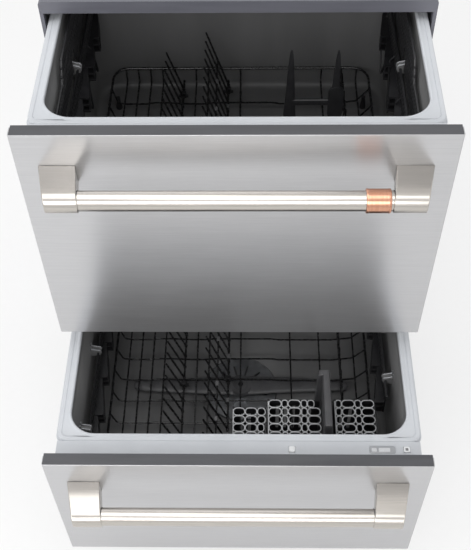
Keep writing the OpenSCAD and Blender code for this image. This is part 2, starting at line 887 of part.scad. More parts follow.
module control_strip(d) {
    color(rim_grey) at_drawer(d) difference() {
        box([-strip_half, strip_front, -strip_h], [strip_half, strip_back, 0]);
        box([-strip_half + strip_wall, strip_front + strip_wall, -strip_h - eps],
            [strip_half - strip_wall, strip_back - strip_wall, -strip_wall]);
        box([display_x - display_w / 2, button_y - display_l / 2, -0.8],
            [display_x + display_w / 2, button_y + display_l / 2, eps]);
        button_hole(power_x);
        button_hole(start_x);
    }
}

// A square cap with a wider foot that keeps it under the strip
module button(d, x) {
    foot = button_w / 2 + 2;
    color(pale) at_drawer(d) translate([x, button_y, 0]) {
        box([-button_w / 2, -button_w / 2, -strip_wall - 1],
            [button_w / 2, button_w / 2, button_up]);
        box([-foot, -foot, -strip_wall - 2.2], [foot, foot, -strip_wall - 0.4]);
    }
}

// ---------------------------------------------------------------- wash system

module wash_motor(d) {
    top = -tub_depth(d) - sump_depth - tub_wall;
    color(black) at_drawer(d) translate([0, open_mid, top]) {
        translate([0, 0, -motor_h]) cylinder(r = motor_r, h = motor_h);
        rod_y(30, -motor_h / 2, 10, motor_r - 25, motor_r + 30);
        cylinder(r = shaft_r, h = sump_depth + tub_wall + spray_lift + spray_h + 2);
    }
}

module spray_arm(d) {
    color(tub_grey) at_drawer(d) translate([0, open_mid, -tub_depth(d) + spray_lift])
        difference() {
            union() {
                linear_extrude(spray_h) polygon([
                    [-spray_r, -spray_tip_w / 2], [0, 2 - hub_r], [spray_r, -spray_tip_w / 2],
                    [spray_r, spray_tip_w / 2], [0, hub_r - 2], [-spray_r, spray_tip_w / 2]
                ]);
                cylinder(r = hub_r, h = spray_h);
            }
            translate([0, 0, -eps]) cylinder(r = shaft_r + run_gap, h = spray_h + 2 * eps);
        }
}

module filter(d) {
    r = sump_r - filter_gap;
    color([0.55, 0.56, 0.58]) at_drawer(d)
        translate([0, open_mid, -tub_depth(d) - filter_t]) difference() {
            union() {
                cylinder(r = r, h = filter_t);
                translate([0, -36, -filter_cup_h]) cylinder(r = filter_cup_r, h = filter_cup_h + 1);
                for (a = [45 : 90 : 315]) rotate(a)
                    translate([r - 8, 0, -sump_depth + filter_t])
                        cylinder(r = 4, h = sump_depth - filter_t + 1);
            }
            translate([0, 0, -eps]) cylinder(r = shaft_r + 6, h = filter_t + 2 * eps);
            translate([0, -36, -filter_cup_h + 2])
                cylinder(r = filter_cup_r - 2, h = filter_cup_h + filter_t);
            for (a = [0 : 30 : 210]) rotate(a - 15)
                box([24, -2, -eps], [52, 2, filter_t + eps]);
        }
}

module drawer_rails(d) {
    color(steel) rails_at(d, drawer_shift(d))
        channel(own_web, own_rail_h, rail_lip, 0);
}

// ---------------------------------------------------------------- dish racks

rod_up = rack_lift + wire_t + rod_r + 0.6;
cross_count = floor((rack_back - rack_front - wire_t) / cross_pitch);
left_wires = [for (k = [1 : 4]) -rack_half + k * long_pitch];
middle_wires = [-right_row_x - 38, -right_row_x - 61, right_row_x - 23];
right_wires = [96, 152, 218];
left_start = rack_front + tine_end;
right_start = left_start + tine_pitch / 2;
// Cradles hold a hinge rod between its tines
cradle_steps = [0.5, 7.5, 14.5];

module floor_wires(d) {
    translate([0, 0, -tub_depth(d) + rack_lift]) linear_extrude(wire_t) {
        difference() {
            translate([0, open_mid])
                round_rect(2 * rack_half, rack_back - rack_front, rack_r);
            translate([0, open_mid])
                round_rect(2 * (rack_half - wire_t), rack_back - rack_front - 2 * wire_t,
                    rack_r - wire_t);
        }
        for (x = concat(left_wires, middle_wires, right_wires))
            translate([x - wire_t / 2, rack_front + 1])
                square([wire_t, rack_back - rack_front - 2]);
        for (k = [0 : cross_count - 1])
            translate([-rack_half + 1, rack_front + (k + 0.5) * cross_pitch])
                square([2 * rack_half - 2, wire_t]);
    }
}

module side_loop(d) {
    up = -tub_depth(d) + rack_lift;
    translate([0, 0, up + loop_up]) linear_extrude(wire_t) difference() {
        translate([0, open_mid]) round_rect(2 * rack_half, rack_back - rack_front, rack_r);
        translate([0, open_mid])
            round_rect(2 * (rack_half - wire_t), rack_back - rack_front - 2 * wire_t,
                rack_r - wire_t);
    }
    both_sides() for (k = [0 : cross_count - 1])
        translate([rack_half - wire_t, rack_front + (k + 0.5) * cross_pitch, up])
            cube([wire_t, wire_t, loop_up + 1]);
    for (x = concat(left_wires, middle_wires, right_wires),
            y = [rack_front, rack_back - wire_t])
        translate([x - wire_t / 2, y, up]) cube([wire_t, wire_t, loop_up + 1]);
}

module rack_feet(d) {
    for (x = [-1, 1], y = [rack_front + 50, rack_back - 50])
        translate([x * (rack_half - 9), y, -tub_depth(d)])
            translate([-6, -6, 0]) cube([12, 12, rack_lift + 1]);
}

module cradles(d, x, start) {
    for (y = [for (step = cradle_steps) start + step * tine_pitch]) difference() {
        box([x - rod_r - 2.6, y - 4, -tub_depth(d) + rack_lift],
            [x + rod_r + 2.6, y + 4, -tub_depth(d) + rod_up + rod_r + 1.8]);
        rod_y(x, -tub_depth(d) + rod_up, rod_r + run_gap, y - 4 - eps, y + 4 + eps);
    }
}

// A tall blade that narrows to its tip, standing across the drawer
module fin(x, y, z, h) {
    translate([x, y + fin_t / 2, z]) rotate([90, 0, 0]) linear_extrude(fin_t)
        polygon([[-fin_w / 2, 0], [fin_w / 2, 0], [fin_w / 2 - 3, h * 0.35],
            [fin_w * 0.1, h], [-fin_w * 0.1, h], [-fin_w / 2 + 3, h * 0.35]]);
}

upper_fins = [upper_fin_x, upper_fin_x + upper_fin_gap];
fin_y = open_mid - 10;

module base_rack(d) {
    up = -tub_depth(d) + rack_lift;
    short_from = open_mid - 80;
    short_count = floor((rack_back - 20 - short_from) / tine_pitch);
    color(rack_black) at_drawer(d) {
        floor_wires(d);
        side_loop(d);
        rack_feet(d);
        cradles(d, -left_row_x, left_start);
        cradles(d, -right_row_x, right_start);
        // The fixed row of short tines stands on its own long wire
        translate([short_row_x - wire_t / 2, rack_front + 1, up])
            cube([wire_t, rack_back - rack_front - 2, wire_t]);
        for (k = [0 : short_count]) translate([short_row_x, short_from + k * tine_pitch, up + 1])
            cylinder(r = tine_r, h = short_tine_l, $fn = 8);
        if (d == UPPER) {
            for (x = upper_fins) fin(x, fin_y, up, -upper_fin_down - up);
            box([upper_fins[0], fin_y - fin_t / 2, up + fin_bar_up],
                [upper_fins[1], fin_y + fin_t / 2, up + fin_bar_up + fin_bar_h]);
            box([upper_fins[0] - 20, fin_y - 4, up],
                [upper_fins[1] + 20, fin_y + 4, up + wire_t]);
        }
    }
}

// Both rows have as many tines as the staggered one has room for
tine_count = floor((rack_back - rack_front - 2 * tine_end - tine_pitch / 2) / tine_pitch) + 1;

// A hinge rod with leaning tines; its middle is the hinge axis
module tine_row(d, x, length, start, tie) {
    color(rack_black) at_drawer(d) translate([-x, 0, -tub_depth(d) + rod_up]) {
        rod_y(0, 0, rod_r, rack_front + 6, rack_back - 6);
        for (k = [0 : tine_count - 1]) translate([0, start + k * tine_pitch, 0])
            rotate([0, -tine_lean, 0]) cylinder(r = tine_r, h = length, $fn = 8);
        if (tie > 0) rotate([0, -tine_lean, 0]) translate([0, start - 3, tie])
            rotate([-90, 0, 0])
            cylinder(r = tine_r * 0.9, h = (tine_count - 1) * tine_pitch + 6, $fn = 8);
    }
}

module cup_rack(d, side) {
    a = cup_from(d, side);
    b = cup_to(d, side);
    teeth = floor((b - a - 4) / tooth_pitch);
    // Built on the right, where the teeth face the middle
    color(rack_black) at_drawer(d) mirror([side == RIGHT ? 0 : 1, 0, 0])
        translate([cup_x, 0, -cup_down]) {
            rod_y(0, 0, cup_rod_r, a - 4, b + 4);
            difference() {
                box([-cup_leaf_t / 2, a, -cup_leaf_h], [cup_leaf_t / 2, b, 0]);
                for (y = lug_places(d, side))
                    box([-lug_half, y - lug_w / 2 - 1, -lug_half * 1.42 - 1],
                        [lug_half, y + lug_w / 2 + 1, lug_half]);
            }
            translate([0, 0, -cup_leaf_h]) linear_extrude(tooth_h)
                for (k = [0 : teeth - 1]) translate([0, a + 2 + k * tooth_pitch])
                    polygon([[0, 0], [-tooth_high, 0], [-tooth_high, 8],
                        [-tooth_low, tooth_pitch], [0, tooth_pitch]]);
        }
}

// ---------------------------------------------------------------- dispenser

door_w = cup_w + 8;
door_h = cup_h + 8;
door_y = open_front + disp_t;
cup_mid_x = -disp_x + disp_w / 2 - door_w / 2 - 3;
cup_mid_z = -disp_down - disp_h / 2;

module dispenser(d) {
    color([0.30, 0.30, 0.32]) at_drawer(d) difference() {
        union() {
            box([-disp_x - disp_w / 2, open_front, -disp_down - disp_h],
                [-disp_x + disp_w / 2, door_y, -disp_down]);
            // Two tracks hold the sliding door's edges
            for (s = [-1, 1]) translate([0, 0, cup_mid_z + s * (door_h / 2 + 2.3)])
                box([-disp_x - disp_w / 2 + 1, door_y - 1, -1.7],
                    [-disp_x + disp_w / 2 - 1, door_y + slide_t + 1.8, 1.7]);
        }
        box([cup_mid_x - cup_w / 2, open_front + 2.5, cup_mid_z - cup_h / 2],
            [cup_mid_x + cup_w / 2, door_y + eps, cup_mid_z + cup_h / 2]);
    }
}

module dispenser_door(d) {
    color([0.38, 0.38, 0.40]) at_drawer(d) {
        box([cup_mid_x - door_w / 2, door_y + 0.35, cup_mid_z - door_h / 2],
            [cup_mid_x + door_w / 2, door_y + 0.35 + slide_t, cup_mid_z + door_h / 2]);
        box([cup_mid_x - door_w / 2 + 4, door_y + slide_t, cup_mid_z - 9],
            [cup_mid_x - door_w / 2 + 9, door_y + slide_t + 3, cup_mid_z + 9]);
    }
}

// ---------------------------------------------------------------- cutlery baskets

basket_low = -tub_depth(LOWER) + rack_lift + wire_t + 0.4;
basket_front = rack_front + wire_t + 1;
basket_b_x = -basket_a_x + basket_a_w + basket_gap;
basket_c_x = basket_b_x + basket_b_w + handle_gap;
lid_pin_x = 0.5 + basket_lid_t / 2;
lid_pin_z = -basket_down + basket_lid_gap + basket_lid_t / 2;

// The right basket's front corner is cut off, where the rack's corner turns
corner_cut = rack_r - 9;
lid_notch_w = 2 * lid_pin_x + 1.5;
lid_notch_l = lid_lug_l + 1;

// The flat outline of a basket, with its front right corner cut by that much
module basket_outline(x, w, l, cut, inset) {
    side = cut > 0 ? cut + inset * 0.41 : inset;
    polygon([[x + inset, basket_front + inset], [x + w - side, basket_front + inset],
        [x + w - inset, basket_front + side], [x + w - inset, basket_front + l - inset],
        [x + inset, basket_front + l - inset]]);
}

module one_basket(x, w, l, cut) {
    slots = floor((w - cut - 12) / 14);
    first = x + (w - cut - (slots - 1) * 14) / 2;
    difference() {
        translate([0, 0, basket_low]) linear_extrude(-basket_down - basket_low)
            basket_outline(x, w, l, cut, 0);
        translate([0, 0, basket_low + basket_wall]) linear_extrude(-basket_low)
            basket_outline(x, w, l, cut, basket_wall);
        for (k = [0 : slots - 1])
            box([first + k * 14 - 3, basket_front - eps, basket_low + 14],
                [first + k * 14 + 3, basket_front + l + eps, -basket_down - 16]);
    }
    // Lugs that hold the lid's hinge pin
    for (y = [basket_front, basket_front + l - lid_lug_l]) difference() {
        box([x, y, -basket_down - 1],
            [x + 2 * lid_pin_x, y + lid_lug_l, lid_pin_z + basket_lid_t / 2 + 1]);
        rod_y(x + lid_pin_x, lid_pin_z, basket_lid_t / 2 + run_gap,
            y - eps, y + lid_lug_l + eps);
    }
}

// The tall grip runs along the gap between two baskets, with a wider foot behind them
module grip() {
    left = basket_b_x + basket_b_w;
    right = basket_c_x;
    back = basket_front + basket_bc_l;
    top_left = left - 1.5;
    top_right = top_left + grip_w;
    translate([0, back + grip_back, 0]) rotate([90, 0, 0])
        linear_extrude(basket_bc_l + grip_back)
        polygon([[left + 0.8, basket_low], [right - 0.8, basket_low],
            [right - 3, -basket_down], [top_right, -grip_down - 2],
            [top_right - 2, -grip_down], [top_left + 2, -grip_down],
            [top_left, -grip_down - 2], [left + 0.8, -basket_down]]);
    translate([0, back + grip_back, 0]) rotate([90, 0, 0])
        linear_extrude(grip_back - 0.8)
        polygon([[left - grip_notch, basket_low], [left + 2, basket_low],
            [left + 2, -grip_down], [top_left - 2, -grip_down],
            [left - grip_notch + 2, -grip_down - 8]]);
}

// A clip at floor level fills the gap beside a basket and holds it to the next piece
module clip(x0, x1) {
    box([x0, basket_front + clip_from, basket_low],
        [x1, basket_front + clip_from + clip_l, basket_low + clip_h]);
}

module left_basket() {
    color(black) at_drawer(LOWER) {
        one_basket(-basket_a_x, basket_a_w, basket_a_l, 0);
        clip(-basket_a_x + basket_a_w, basket_b_x);
    }
}

module middle_basket() {
    color(black) at_drawer(LOWER) one_basket(basket_b_x, basket_b_w, basket_bc_l, 0);
}

module right_basket() {
    color(black) at_drawer(LOWER)
        one_basket(basket_c_x, basket_c_w, basket_bc_l, corner_cut);
}

module basket_grip() {
    color(black) at_drawer(LOWER) {
        difference() {
            grip();
            // The grip is hollow and open to the front
            box([basket_b_x + basket_b_w + 3, basket_front - eps, basket_low + clip_h],
                [basket_c_x - 6, basket_front + basket_bc_l + grip_back - 3, -basket_down]);
        }
        clip(basket_b_x + basket_b_w, basket_c_x);
    }
}

// The flat outline of a hole with cut corners
module cell(w, h) {
    c = min(w, h) * 0.3;
    polygon([[-w / 2 + c, -h / 2], [w / 2 - c, -h / 2], [w / 2, -h / 2 + c],
        [w / 2, h / 2 - c], [w / 2 - c, h / 2], [-w / 2 + c, h / 2],
        [-w / 2, h / 2 - c], [-w / 2, -h / 2 + c]]);
}

// A lid whose rows of holes alternate between wide and narrow
module basket_lid(x, w, l, cut, wide, narrow) {
    edge = 2;
    rows = floor((l - 2 * edge) / cell_pitch);
    between = narrow > 0 ? narrow + 2 * cell_bar : cell_bar;
    step = wide + between;
    count = floor((w - 2 * edge + between) / step);
    first = x + (w - count * step + between + wide) / 2;
    row_first = basket_front + (l - (rows - 1) * cell_pitch) / 2;
    color(pale) at_drawer(LOWER) {
        rod_y(x + lid_pin_x, lid_pin_z, basket_lid_t / 2, basket_front + 0.5,
            basket_front + l - 0.5);
        translate([0, 0, -basket_down + basket_lid_gap]) linear_extrude(basket_lid_t)
        difference() {
            intersection() {
                basket_outline(x, w, l, cut, 0.5);
                translate([x + lid_pin_x, basket_front]) square([w, l]);
            }
            for (y = [basket_front, basket_front + l - lid_notch_l])
                translate([x, y]) square([lid_notch_w, lid_notch_l]);
            for (r = [0 : rows - 1], k = [0 : count - 1])
                translate([first + k * step, row_first + r * cell_pitch])
                    cell(wide, cell_pitch - cell_bar);
            if (narrow > 0) for (r = [0 : rows - 1], k = [0 : count - 2])
                translate([first + (k + 0.5) * step, row_first + r * cell_pitch])
                    cell(narrow, cell_pitch - cell_bar);
        }
    }
}

chassis_wrap();
back_panel();
base_tray();
front_trim();
cabinet_rails();
lid_guides();
rear_connections();
levelling_feet();
mid_rails(UPPER);  // upper_mid_rails
mid_rails(LOWER);  // lower_mid_rails
lid(UPPER);  // upper_lid
lid(LOWER);  // lower_lid
tub(UPPER);  // upper_tub
rim(UPPER);  // upper_rim
front_panel(UPPER);  // upper_front_panel
door_frame(UPPER);  // upper_door_frame
handle_posts(UPPER);  // upper_handle_posts
handle_bar(UPPER);  // upper_handle_bar
handle_ring();
control_strip(UPPER);  // upper_control_strip
button(UPPER, power_x);  // upper_power_button
button(UPPER, start_x);  // upper_start_button
base_rack(UPPER);  // upper_base_rack
tine_row(UPPER, left_row_x, left_tine_l, left_start, 0);  // upper_left_tines
tine_row(UPPER, right_row_x, right_tine_l, right_start, tie_up);  // upper_right_tines
cup_rack(UPPER, LEFT);  // upper_left_cup_rack
cup_rack(UPPER, RIGHT);  // upper_right_cup_rack
spray_arm(UPPER);  // upper_spray_arm
filter(UPPER);  // upper_filter
wash_motor(UPPER);  // upper_wash_motor
drawer_rails(UPPER);  // upper_drawer_rails
dispenser(UPPER);  // upper_dispenser
dispenser_door(UPPER);  // upper_dispenser_door
tub(LOWER);  // lower_tub
rim(LOWER);  // lower_rim
front_panel(LOWER);  // lower_front_panel
door_frame(LOWER);  // lower_door_frame
handle_posts(LOWER);  // lower_handle_posts
handle_bar(LOWER);  // lower_handle_bar
control_strip(LOWER);  // lower_control_strip
button(LOWER, power_x);  // lower_power_button
button(LOWER, start_x);  // lower_start_button
base_rack(LOWER);  // lower_base_rack
tine_row(LOWER, left_row_x, left_tine_l, left_start, 0);  // lower_left_tines
tine_row(LOWER, right_row_x, right_tine_l, right_start, tie_up);  // lower_right_tines
cup_rack(LOWER, LEFT);  // lower_left_cup_rack
cup_rack(LOWER, RIGHT);  // lower_right_cup_rack
spray_arm(LOWER);  // lower_spray_arm
filter(LOWER);  // lower_filter
wash_motor(LOWER);  // lower_wash_motor
drawer_rails(LOWER);  // lower_drawer_rails
dispenser(LOWER);  // lower_dispenser
dispenser_door(LOWER);  // lower_dispenser_door
left_basket();
middle_basket();
right_basket();
basket_grip();
basket_lid(-basket_a_x, basket_a_w, basket_a_l, 0, left_cell, 0);  // left_basket_lid
basket_lid(basket_b_x, basket_b_w, basket_bc_l, 0, wide_cell, narrow_cell);  // middle_basket_lid
basket_lid(basket_c_x, basket_c_w, basket_bc_l, corner_cut, wide_cell, narrow_cell);  // right_basket_lid
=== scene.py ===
"""Looks of a two-drawer dishwasher: finishes, wire racks, moulded tubs, handles and controls."""
import json
import math
from math import cos, radians, sin

import bpy
import bmesh
from mathutils import Matrix, Vector


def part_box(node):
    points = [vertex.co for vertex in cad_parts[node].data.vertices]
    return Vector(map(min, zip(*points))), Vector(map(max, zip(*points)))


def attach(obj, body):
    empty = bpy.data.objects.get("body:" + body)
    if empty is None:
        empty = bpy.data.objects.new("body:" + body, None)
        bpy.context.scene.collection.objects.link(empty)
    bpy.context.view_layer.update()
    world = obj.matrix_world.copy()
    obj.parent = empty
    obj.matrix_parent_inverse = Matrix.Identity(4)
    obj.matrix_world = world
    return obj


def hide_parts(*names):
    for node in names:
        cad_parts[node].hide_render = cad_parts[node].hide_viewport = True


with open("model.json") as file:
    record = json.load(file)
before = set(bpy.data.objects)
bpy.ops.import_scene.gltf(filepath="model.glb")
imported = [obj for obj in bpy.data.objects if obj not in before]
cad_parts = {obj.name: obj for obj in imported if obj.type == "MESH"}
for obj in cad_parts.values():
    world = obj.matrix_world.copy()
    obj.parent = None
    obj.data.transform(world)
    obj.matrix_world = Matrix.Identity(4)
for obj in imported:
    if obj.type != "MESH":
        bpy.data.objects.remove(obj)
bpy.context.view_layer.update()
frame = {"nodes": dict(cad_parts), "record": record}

MM = 0.001
DRAWERS = ("upper", "lower")

# --- sizes, in millimetres

# A drawer's own frame has its panel's front at y 0 and its rim at z 0
RIM_DROP = 35
TUB_DEPTH = {"upper": 320, "lower": 225}
TUB_WALL, TUB_RIB, TUB_STEP, FLOOR_R = 3, 4, 33, 14
OPEN_HALF, OPEN_FRONT, OPEN_L, OPEN_R = 271, 74.4, 445, 42
OPEN_MID = OPEN_FRONT + OPEN_L / 2
RIM_FRONT, RIM_END, RIM_HALF, RIM_R, LIP_HALF = 61, 533.4, 290, 18, 292.8
SKIRT_H, SKIRT_T, RIM_T = 14, 2.5, 4
SUMP_R, SUMP_DEPTH = 70, 14
BOSSES, BOSS_L, BOSS_LOW, BOSS_TOP, RAIL_INNER = (146.6, 436.6), 50, -72, -48, 289.8
RIB_X, RIB_W, RIB_H = 150, 80, 14
# Steel skin of the panel, handle with its posts (back and front end), and copper ring
DOOR_T, SKIN_T, SKIN_RETURN, SKIN_R, PANEL_HALF = 20.6, 1.2, 16, 2.5, 298.5
BAR_R, NOSE_R, BAR_OUT, BAR_UP, BAR_INTO_POST = 13.9, 16, 51, RIM_DROP - 70, 5.5
BAR_AT = (0, -BAR_OUT, BAR_UP)
POST_INNER, POST_OUTER = (216.5, 207.5), (267.5, 252.5)
RING_R, RING_L, RING_END = 16.7, 33, 205
# Buttons and display on the control strip; each block on the display has its place and size
STRIP_H, BUTTON_W, BUTTON_FOOT, BUTTON_UP, BUTTON_Y = 22, 10, 14, 2, 47
POWER_X, START_X, DISPLAY_X, DISPLAY_W, DISPLAY_L = 85, 265, 227, 41, 13
DISPLAY_BLOCKS = ((-13, 8, 6), (3, 18, 7))
# Floor rack, its wires and the short tines on its right side
RACK_HALF, RACK_FRONT, RACK_BACK, RACK_R = 239, 89.4, 504.4, 30
RACK_LIFT, LOOP_UP, WIRE, LOOP_R, RACK_FOOT_IN = 24, 30, 1.6, 2.2, 48.4
LONG_WIRES = (-216, -193, -170, -147, -84, -61, 0, 96, 152, 190, 218)
CROSS_PITCH, CROSS_COUNT = 47, 8
SHORT_X, SHORT_FROM, SHORT_L, SHORT_COUNT, SHORT_LEAN = 190, 216.9, 52, 11, 3
# Rows of tines: place, length of a tine, first tine and height of the tie wire
ROWS = {"left": (-107, 92, 105.4, 0), "right": (-23, 128, 117.65, 62)}
ROD_UP, ROD_R, ROD_END, TINE_R, TINE_PITCH, TINES, LEAN = 30, 2.2, 6.5, 1.9, 24.5, 16, 17.5
CRADLES = (0.5, 7.5, 14.5)
BEADS = (2, 5, 9, 12)
# Cup racks, the lugs and hooks that they hang on, and their toothed shelves
CUP_X, CUP_DOWN, CUP_LEAF, CUP_ROD_R, CUP_BAR_PITCH = 258, 95, 60, 2.5, 9
LUG_HALF, LUG_W, LUG_IN, HOOK_R, HOOK_WIRE, HOOK_STEP = 4.5, 12, 35, 5.9, 1.3, 4
TOOTH_LOW, TOOTH_HIGH, TOOTH_PITCH, TOOTH_H = 7, 17, 78, 30
CUP_SPAN = {("upper", -1): (99.4, 494.4), ("upper", 1): (99.4, 494.4),
            ("lower", -1): (99.4, 494.4), ("lower", 1): (204.4, 494.4)}
# Prongs under the upper cup racks: place and height of the top, then of the tip
CUP_PRONGS = {-1: ((386, -129, 417, -211), (317, -147, 323, -219), (223, -147, 229, -219)),
              1: ((469, -132, 423, -218), (347, -122, 311, -210), (242, -122, 206, -210))}
PRONG_X, PRONG_R = 250, 1.6
# Grids on the upper tub's side walls; their top steps up at one place. Their bars are wide and close, so
# their black also paints the shade on the wall between the slats
LADDER_X, LADDER_PITCH, LADDER_BAR, LADDER_STEP, STEP_L = 263.5, 8.6, 6.4, 206, 24
LADDER_FORE, LADDER_TOP = -44, -15
FINS, FIN_Y, FIN_W, FIN_T, FIN_TOP, FIN_BAR_UP = (84, 158), 286.9, 26, 6, -55, 137
# Left side, width, depth and cut corner of each cutlery basket
BASKETS = {"left": (-12, 58, 80, 0), "middle": (48.5, 93, 96, 0), "right": (163.5, 71, 96, 21)}
BASKET_TOP, BASKET_LOW, BASKET_FRONT, ROW_PITCH, RING_BAR = -88, -197.4, 93.6, 15.6, 1.15
# Tall grip between two baskets, and the clip under it
GRIP_TOP, GRIP_W, GRIP_BACK, CLIP_FROM, CLIP_L, CLIP_H = -8, 12.5, 12, 30, 20, 8
# Tub lid: thickness of its ribs and their pitch; its seal lies a little in front of its middle
LID_RIB, LID_RIB_PITCH, SEAL_SHIFT = 2.4, 60, -0.3
ARM_REACH, ARM_HUB_R, JET_FROM, JET_PITCH, JETS = 205, 22.9, 38, 19, 9
MOTOR_R, MOTOR_H, MOTOR_RIBS, PORT_X = 60, 30, 5, 30
# Sheet wrap and back: metal, corner and how far the pressed panels sink
SHEET_T, WRAP_R, SIDE_SINK, BACK_SINK = 1.4, 6, 3, 5
FOOT_R, STUD_R, STUD_LOW, STUD_PITCH, STUD_TURNS = 19, 4.95, 14, 2, 25
INLET_X, INLET_L, DRAIN_X, DRAIN_L, GLAND_X, GLAND_L = -190, 18, -130, 30, 190, 16

# --- meshes


def angles(first, last, steps):
    """Evenly spaced angles with both ends, given in degrees and returned in radians."""
    return [radians(first + (last - first) * k / steps) for k in range(steps + 1)]


def around(count):
    """The angles of that many points round a circle."""
    return [math.tau * i / count for i in range(count)]


def outline(w, l, r, mid=(0, 0), steps=8):
    """Points round a rectangle with round corners; the count is the same for every size."""
    r = min(r, w / 2, l / 2)
    corners = ((1, 1), (-1, 1), (-1, -1), (1, -1))
    return [(mid[0] + sx * (w / 2 - r) + r * cos(a), mid[1] + sy * (l / 2 - r) + r * sin(a))
            for k, (sx, sy) in enumerate(corners) for a in angles(90 * k, 90 * k + 90, steps)]


def bend(points, r, steps=5):
    """An open path whose corners are rounded with radius r."""
    points = [Vector(p) for p in points]
    path = [points[0]]
    for before, p, after in zip(points, points[1:], points[2:]):
        a, b = before - p, after - p
        cut = min(r / math.tan(a.angle(b) / 2), a.length * 0.49, b.length * 0.49)
        start, end = p + a.normalized() * cut, p + b.normalized() * cut
        for step in range(steps + 1):
            t = step / steps
            path.append((1 - t) ** 2 * start + 2 * t * (1 - t) * p + t * t * end)
    return path + [points[-1]]


def show(name, data):
    """A new object in the scene."""
    item = bpy.data.objects.new(name, data)
    bpy.context.scene.collection.objects.link(item)
    return item


# Places a flat point (u, v) at w along an axis
ALONG = {"z": lambda u, v, w: (u, v, w), "y": lambda u, v, w: (u, w, v), "x": lambda u, v, w: (w, u, v)}


class Form:
    """Gathers closed shapes in millimetres about an origin in metres, and makes one mesh of them."""

    def __init__(self, origin=(0, 0, 0), prefix=""):
        self.origin = Vector(origin)
        self.prefix = prefix
        self.verts = []
        self.faces = []

    def loft(self, rings, closed=False):
        """A skin over rings with the same number of points; its ends are filled unless it is closed."""
        n, count, base = len(rings[0]), len(rings), len(self.verts)
        for ring in rings:
            self.verts += [Vector(p) for p in ring]
        for k in range(count if closed else count - 1):
            a, b = base + k * n, base + (k + 1) % count * n
            self.faces += [[a + i, a + (i + 1) % n, b + (i + 1) % n, b + i] for i in range(n)]
        if not closed:
            self.faces.append([base + i for i in reversed(range(n))])
            self.faces.append([base + (count - 1) * n + i for i in range(n)])
        return self

    def layers(self, stack, closed=False):
        """Lofts flat outlines, given as (outline, z)."""
        return self.loft([[(x, y, z) for x, y in flat] for flat, z in stack], closed)

    def box(self, lo, hi):
        """A box between two opposite corners."""
        flat = [(lo[0], lo[1]), (hi[0], lo[1]), (hi[0], hi[1]), (lo[0], hi[1])]
        return self.layers([(flat, lo[2]), (flat, hi[2])])

    def prism(self, flat, lo, hi, axis="z"):
        """Extrudes a flat outline along an axis from lo to hi."""
        put = ALONG[axis]
        return self.loft([[put(u, v, w) for u, v in flat] for w in (lo, hi)])

    def bar(self, put, size, ends, steps=2):
        """A bar whose section has a width, a length and a radius; put(u, v, end) places its points."""
        flat = outline(*size, (0, 0), steps)
        return self.loft([[put(u, v, end) for u, v in flat] for end in ends])

    def tube(self, path, r, sides=8, closed=False, round_ends=False):
        """Sweeps a circle along a path; r may be one radius for each point."""
        path = [Vector(p) for p in path]
        radii = r if isinstance(r, (list, tuple)) else [r] * len(path)
        if round_ends:
            # The numbers are those of the path as given, so the second tip lands short of its end
            for end, inner in ((0, 1), (len(path) - 1, len(path) - 2)):
                out = (path[end] - path[inner]).normalized()
                tips = [path[end] + out * radii[end] * sin(a) for a in angles(40, 75, 1)]
                thin = [radii[end] * cos(a) for a in angles(40, 75, 1)]
                if end == 0:
                    path, radii = tips[::-1] + path, thin[::-1] + list(radii)
                else:
                    path, radii = path + tips, list(radii) + thin
        count = len(path)
        side, rings = None, []
        for k, p in enumerate(path):
            if closed:
                along = path[(k + 1) % count] - path[k - 1]
            else:
                along = path[min(k + 1, count - 1)] - path[max(k - 1, 0)]
            along.normalize()
            if side is None:
                side = along.orthogonal().normalized()
            side = (side - along * side.dot(along)).normalized()
            other = along.cross(side)
            rings.append([p + radii[k] * (side * cos(a) + other * sin(a))
                          for a in around(sides)])
        return self.loft(rings, closed)

    def turned(self, profile, at=(0, 0, 0), axis="z", sides=48):
        """Turns a profile of (radius, place along the axis) round an axis through a point."""
        put, at = ALONG[axis], Vector(at)
        return self.loft([[Vector(put(r * cos(a), r * sin(a), w)) + at for a in around(sides)]
                          for r, w in profile])

    def piece(self, name, body, paint, replaces=(), bevel=0, sharp=35):
        """Makes the mesh, rides it on a body and hides the nodes that it replaces."""
        name, body = self.prefix + name, self.prefix + body
        replaces = [self.prefix + node for node in replaces]
        mesh = bpy.data.meshes.new(name)
        work = bmesh.new()
        made = [work.verts.new(self.origin + v * MM) for v in self.verts]
        for f in self.faces:
            work.faces.new([made[i] for i in f])
        bmesh.ops.remove_doubles(work, verts=work.verts, dist=1e-6)
        bmesh.ops.dissolve_degenerate(work, edges=work.edges, dist=1e-6)
        bmesh.ops.recalc_face_normals(work, faces=work.faces)
        work.to_mesh(mesh)
        work.free()
        mesh.shade_smooth()
        mesh.set_sharp_from_angle(angle=radians(sharp))
        mesh.materials.append(paint)
        item = show(name, mesh)
        if bevel:
            soften(item, bevel)
        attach(item, body)
        if replaces:
            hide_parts(*replaces)


def soften(item, width):
    """Rounds an object's sharp edges."""
    edge = item.modifiers.new("edges", "BEVEL")
    edge.width = width * MM
    edge.segments = 2
    edge.limit_method = "ANGLE"
    edge.angle_limit = radians(35)


def drawer_origin(d):
    """The middle of a drawer's width, at its panel's front and the height of its rim."""
    lo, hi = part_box(d + "_front_panel")
    return Vector((0, lo.y, hi.z - RIM_DROP * MM))


def own(d):
    """A form in a drawer's own frame, whose pieces, bodies and nodes are named after the drawer."""
    return Form(ORIGIN[d], d + "_")


ORIGIN = {d: drawer_origin(d) for d in DRAWERS}
PANEL_LOW = {d: (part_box(d + "_front_panel")[0].z - ORIGIN[d].z) / MM for d in DRAWERS}

# --- finishes


def fill(node, values):
    """Sets a node's inputs by name; an underscore stands for a space."""
    for socket, value in values.items():
        node.inputs[socket.replace("_", " ")].default_value = value


def add_node(tree, kind, **values):
    """A new shader node with its inputs set."""
    made = tree.nodes.new("ShaderNode" + kind)
    fill(made, values)
    return made


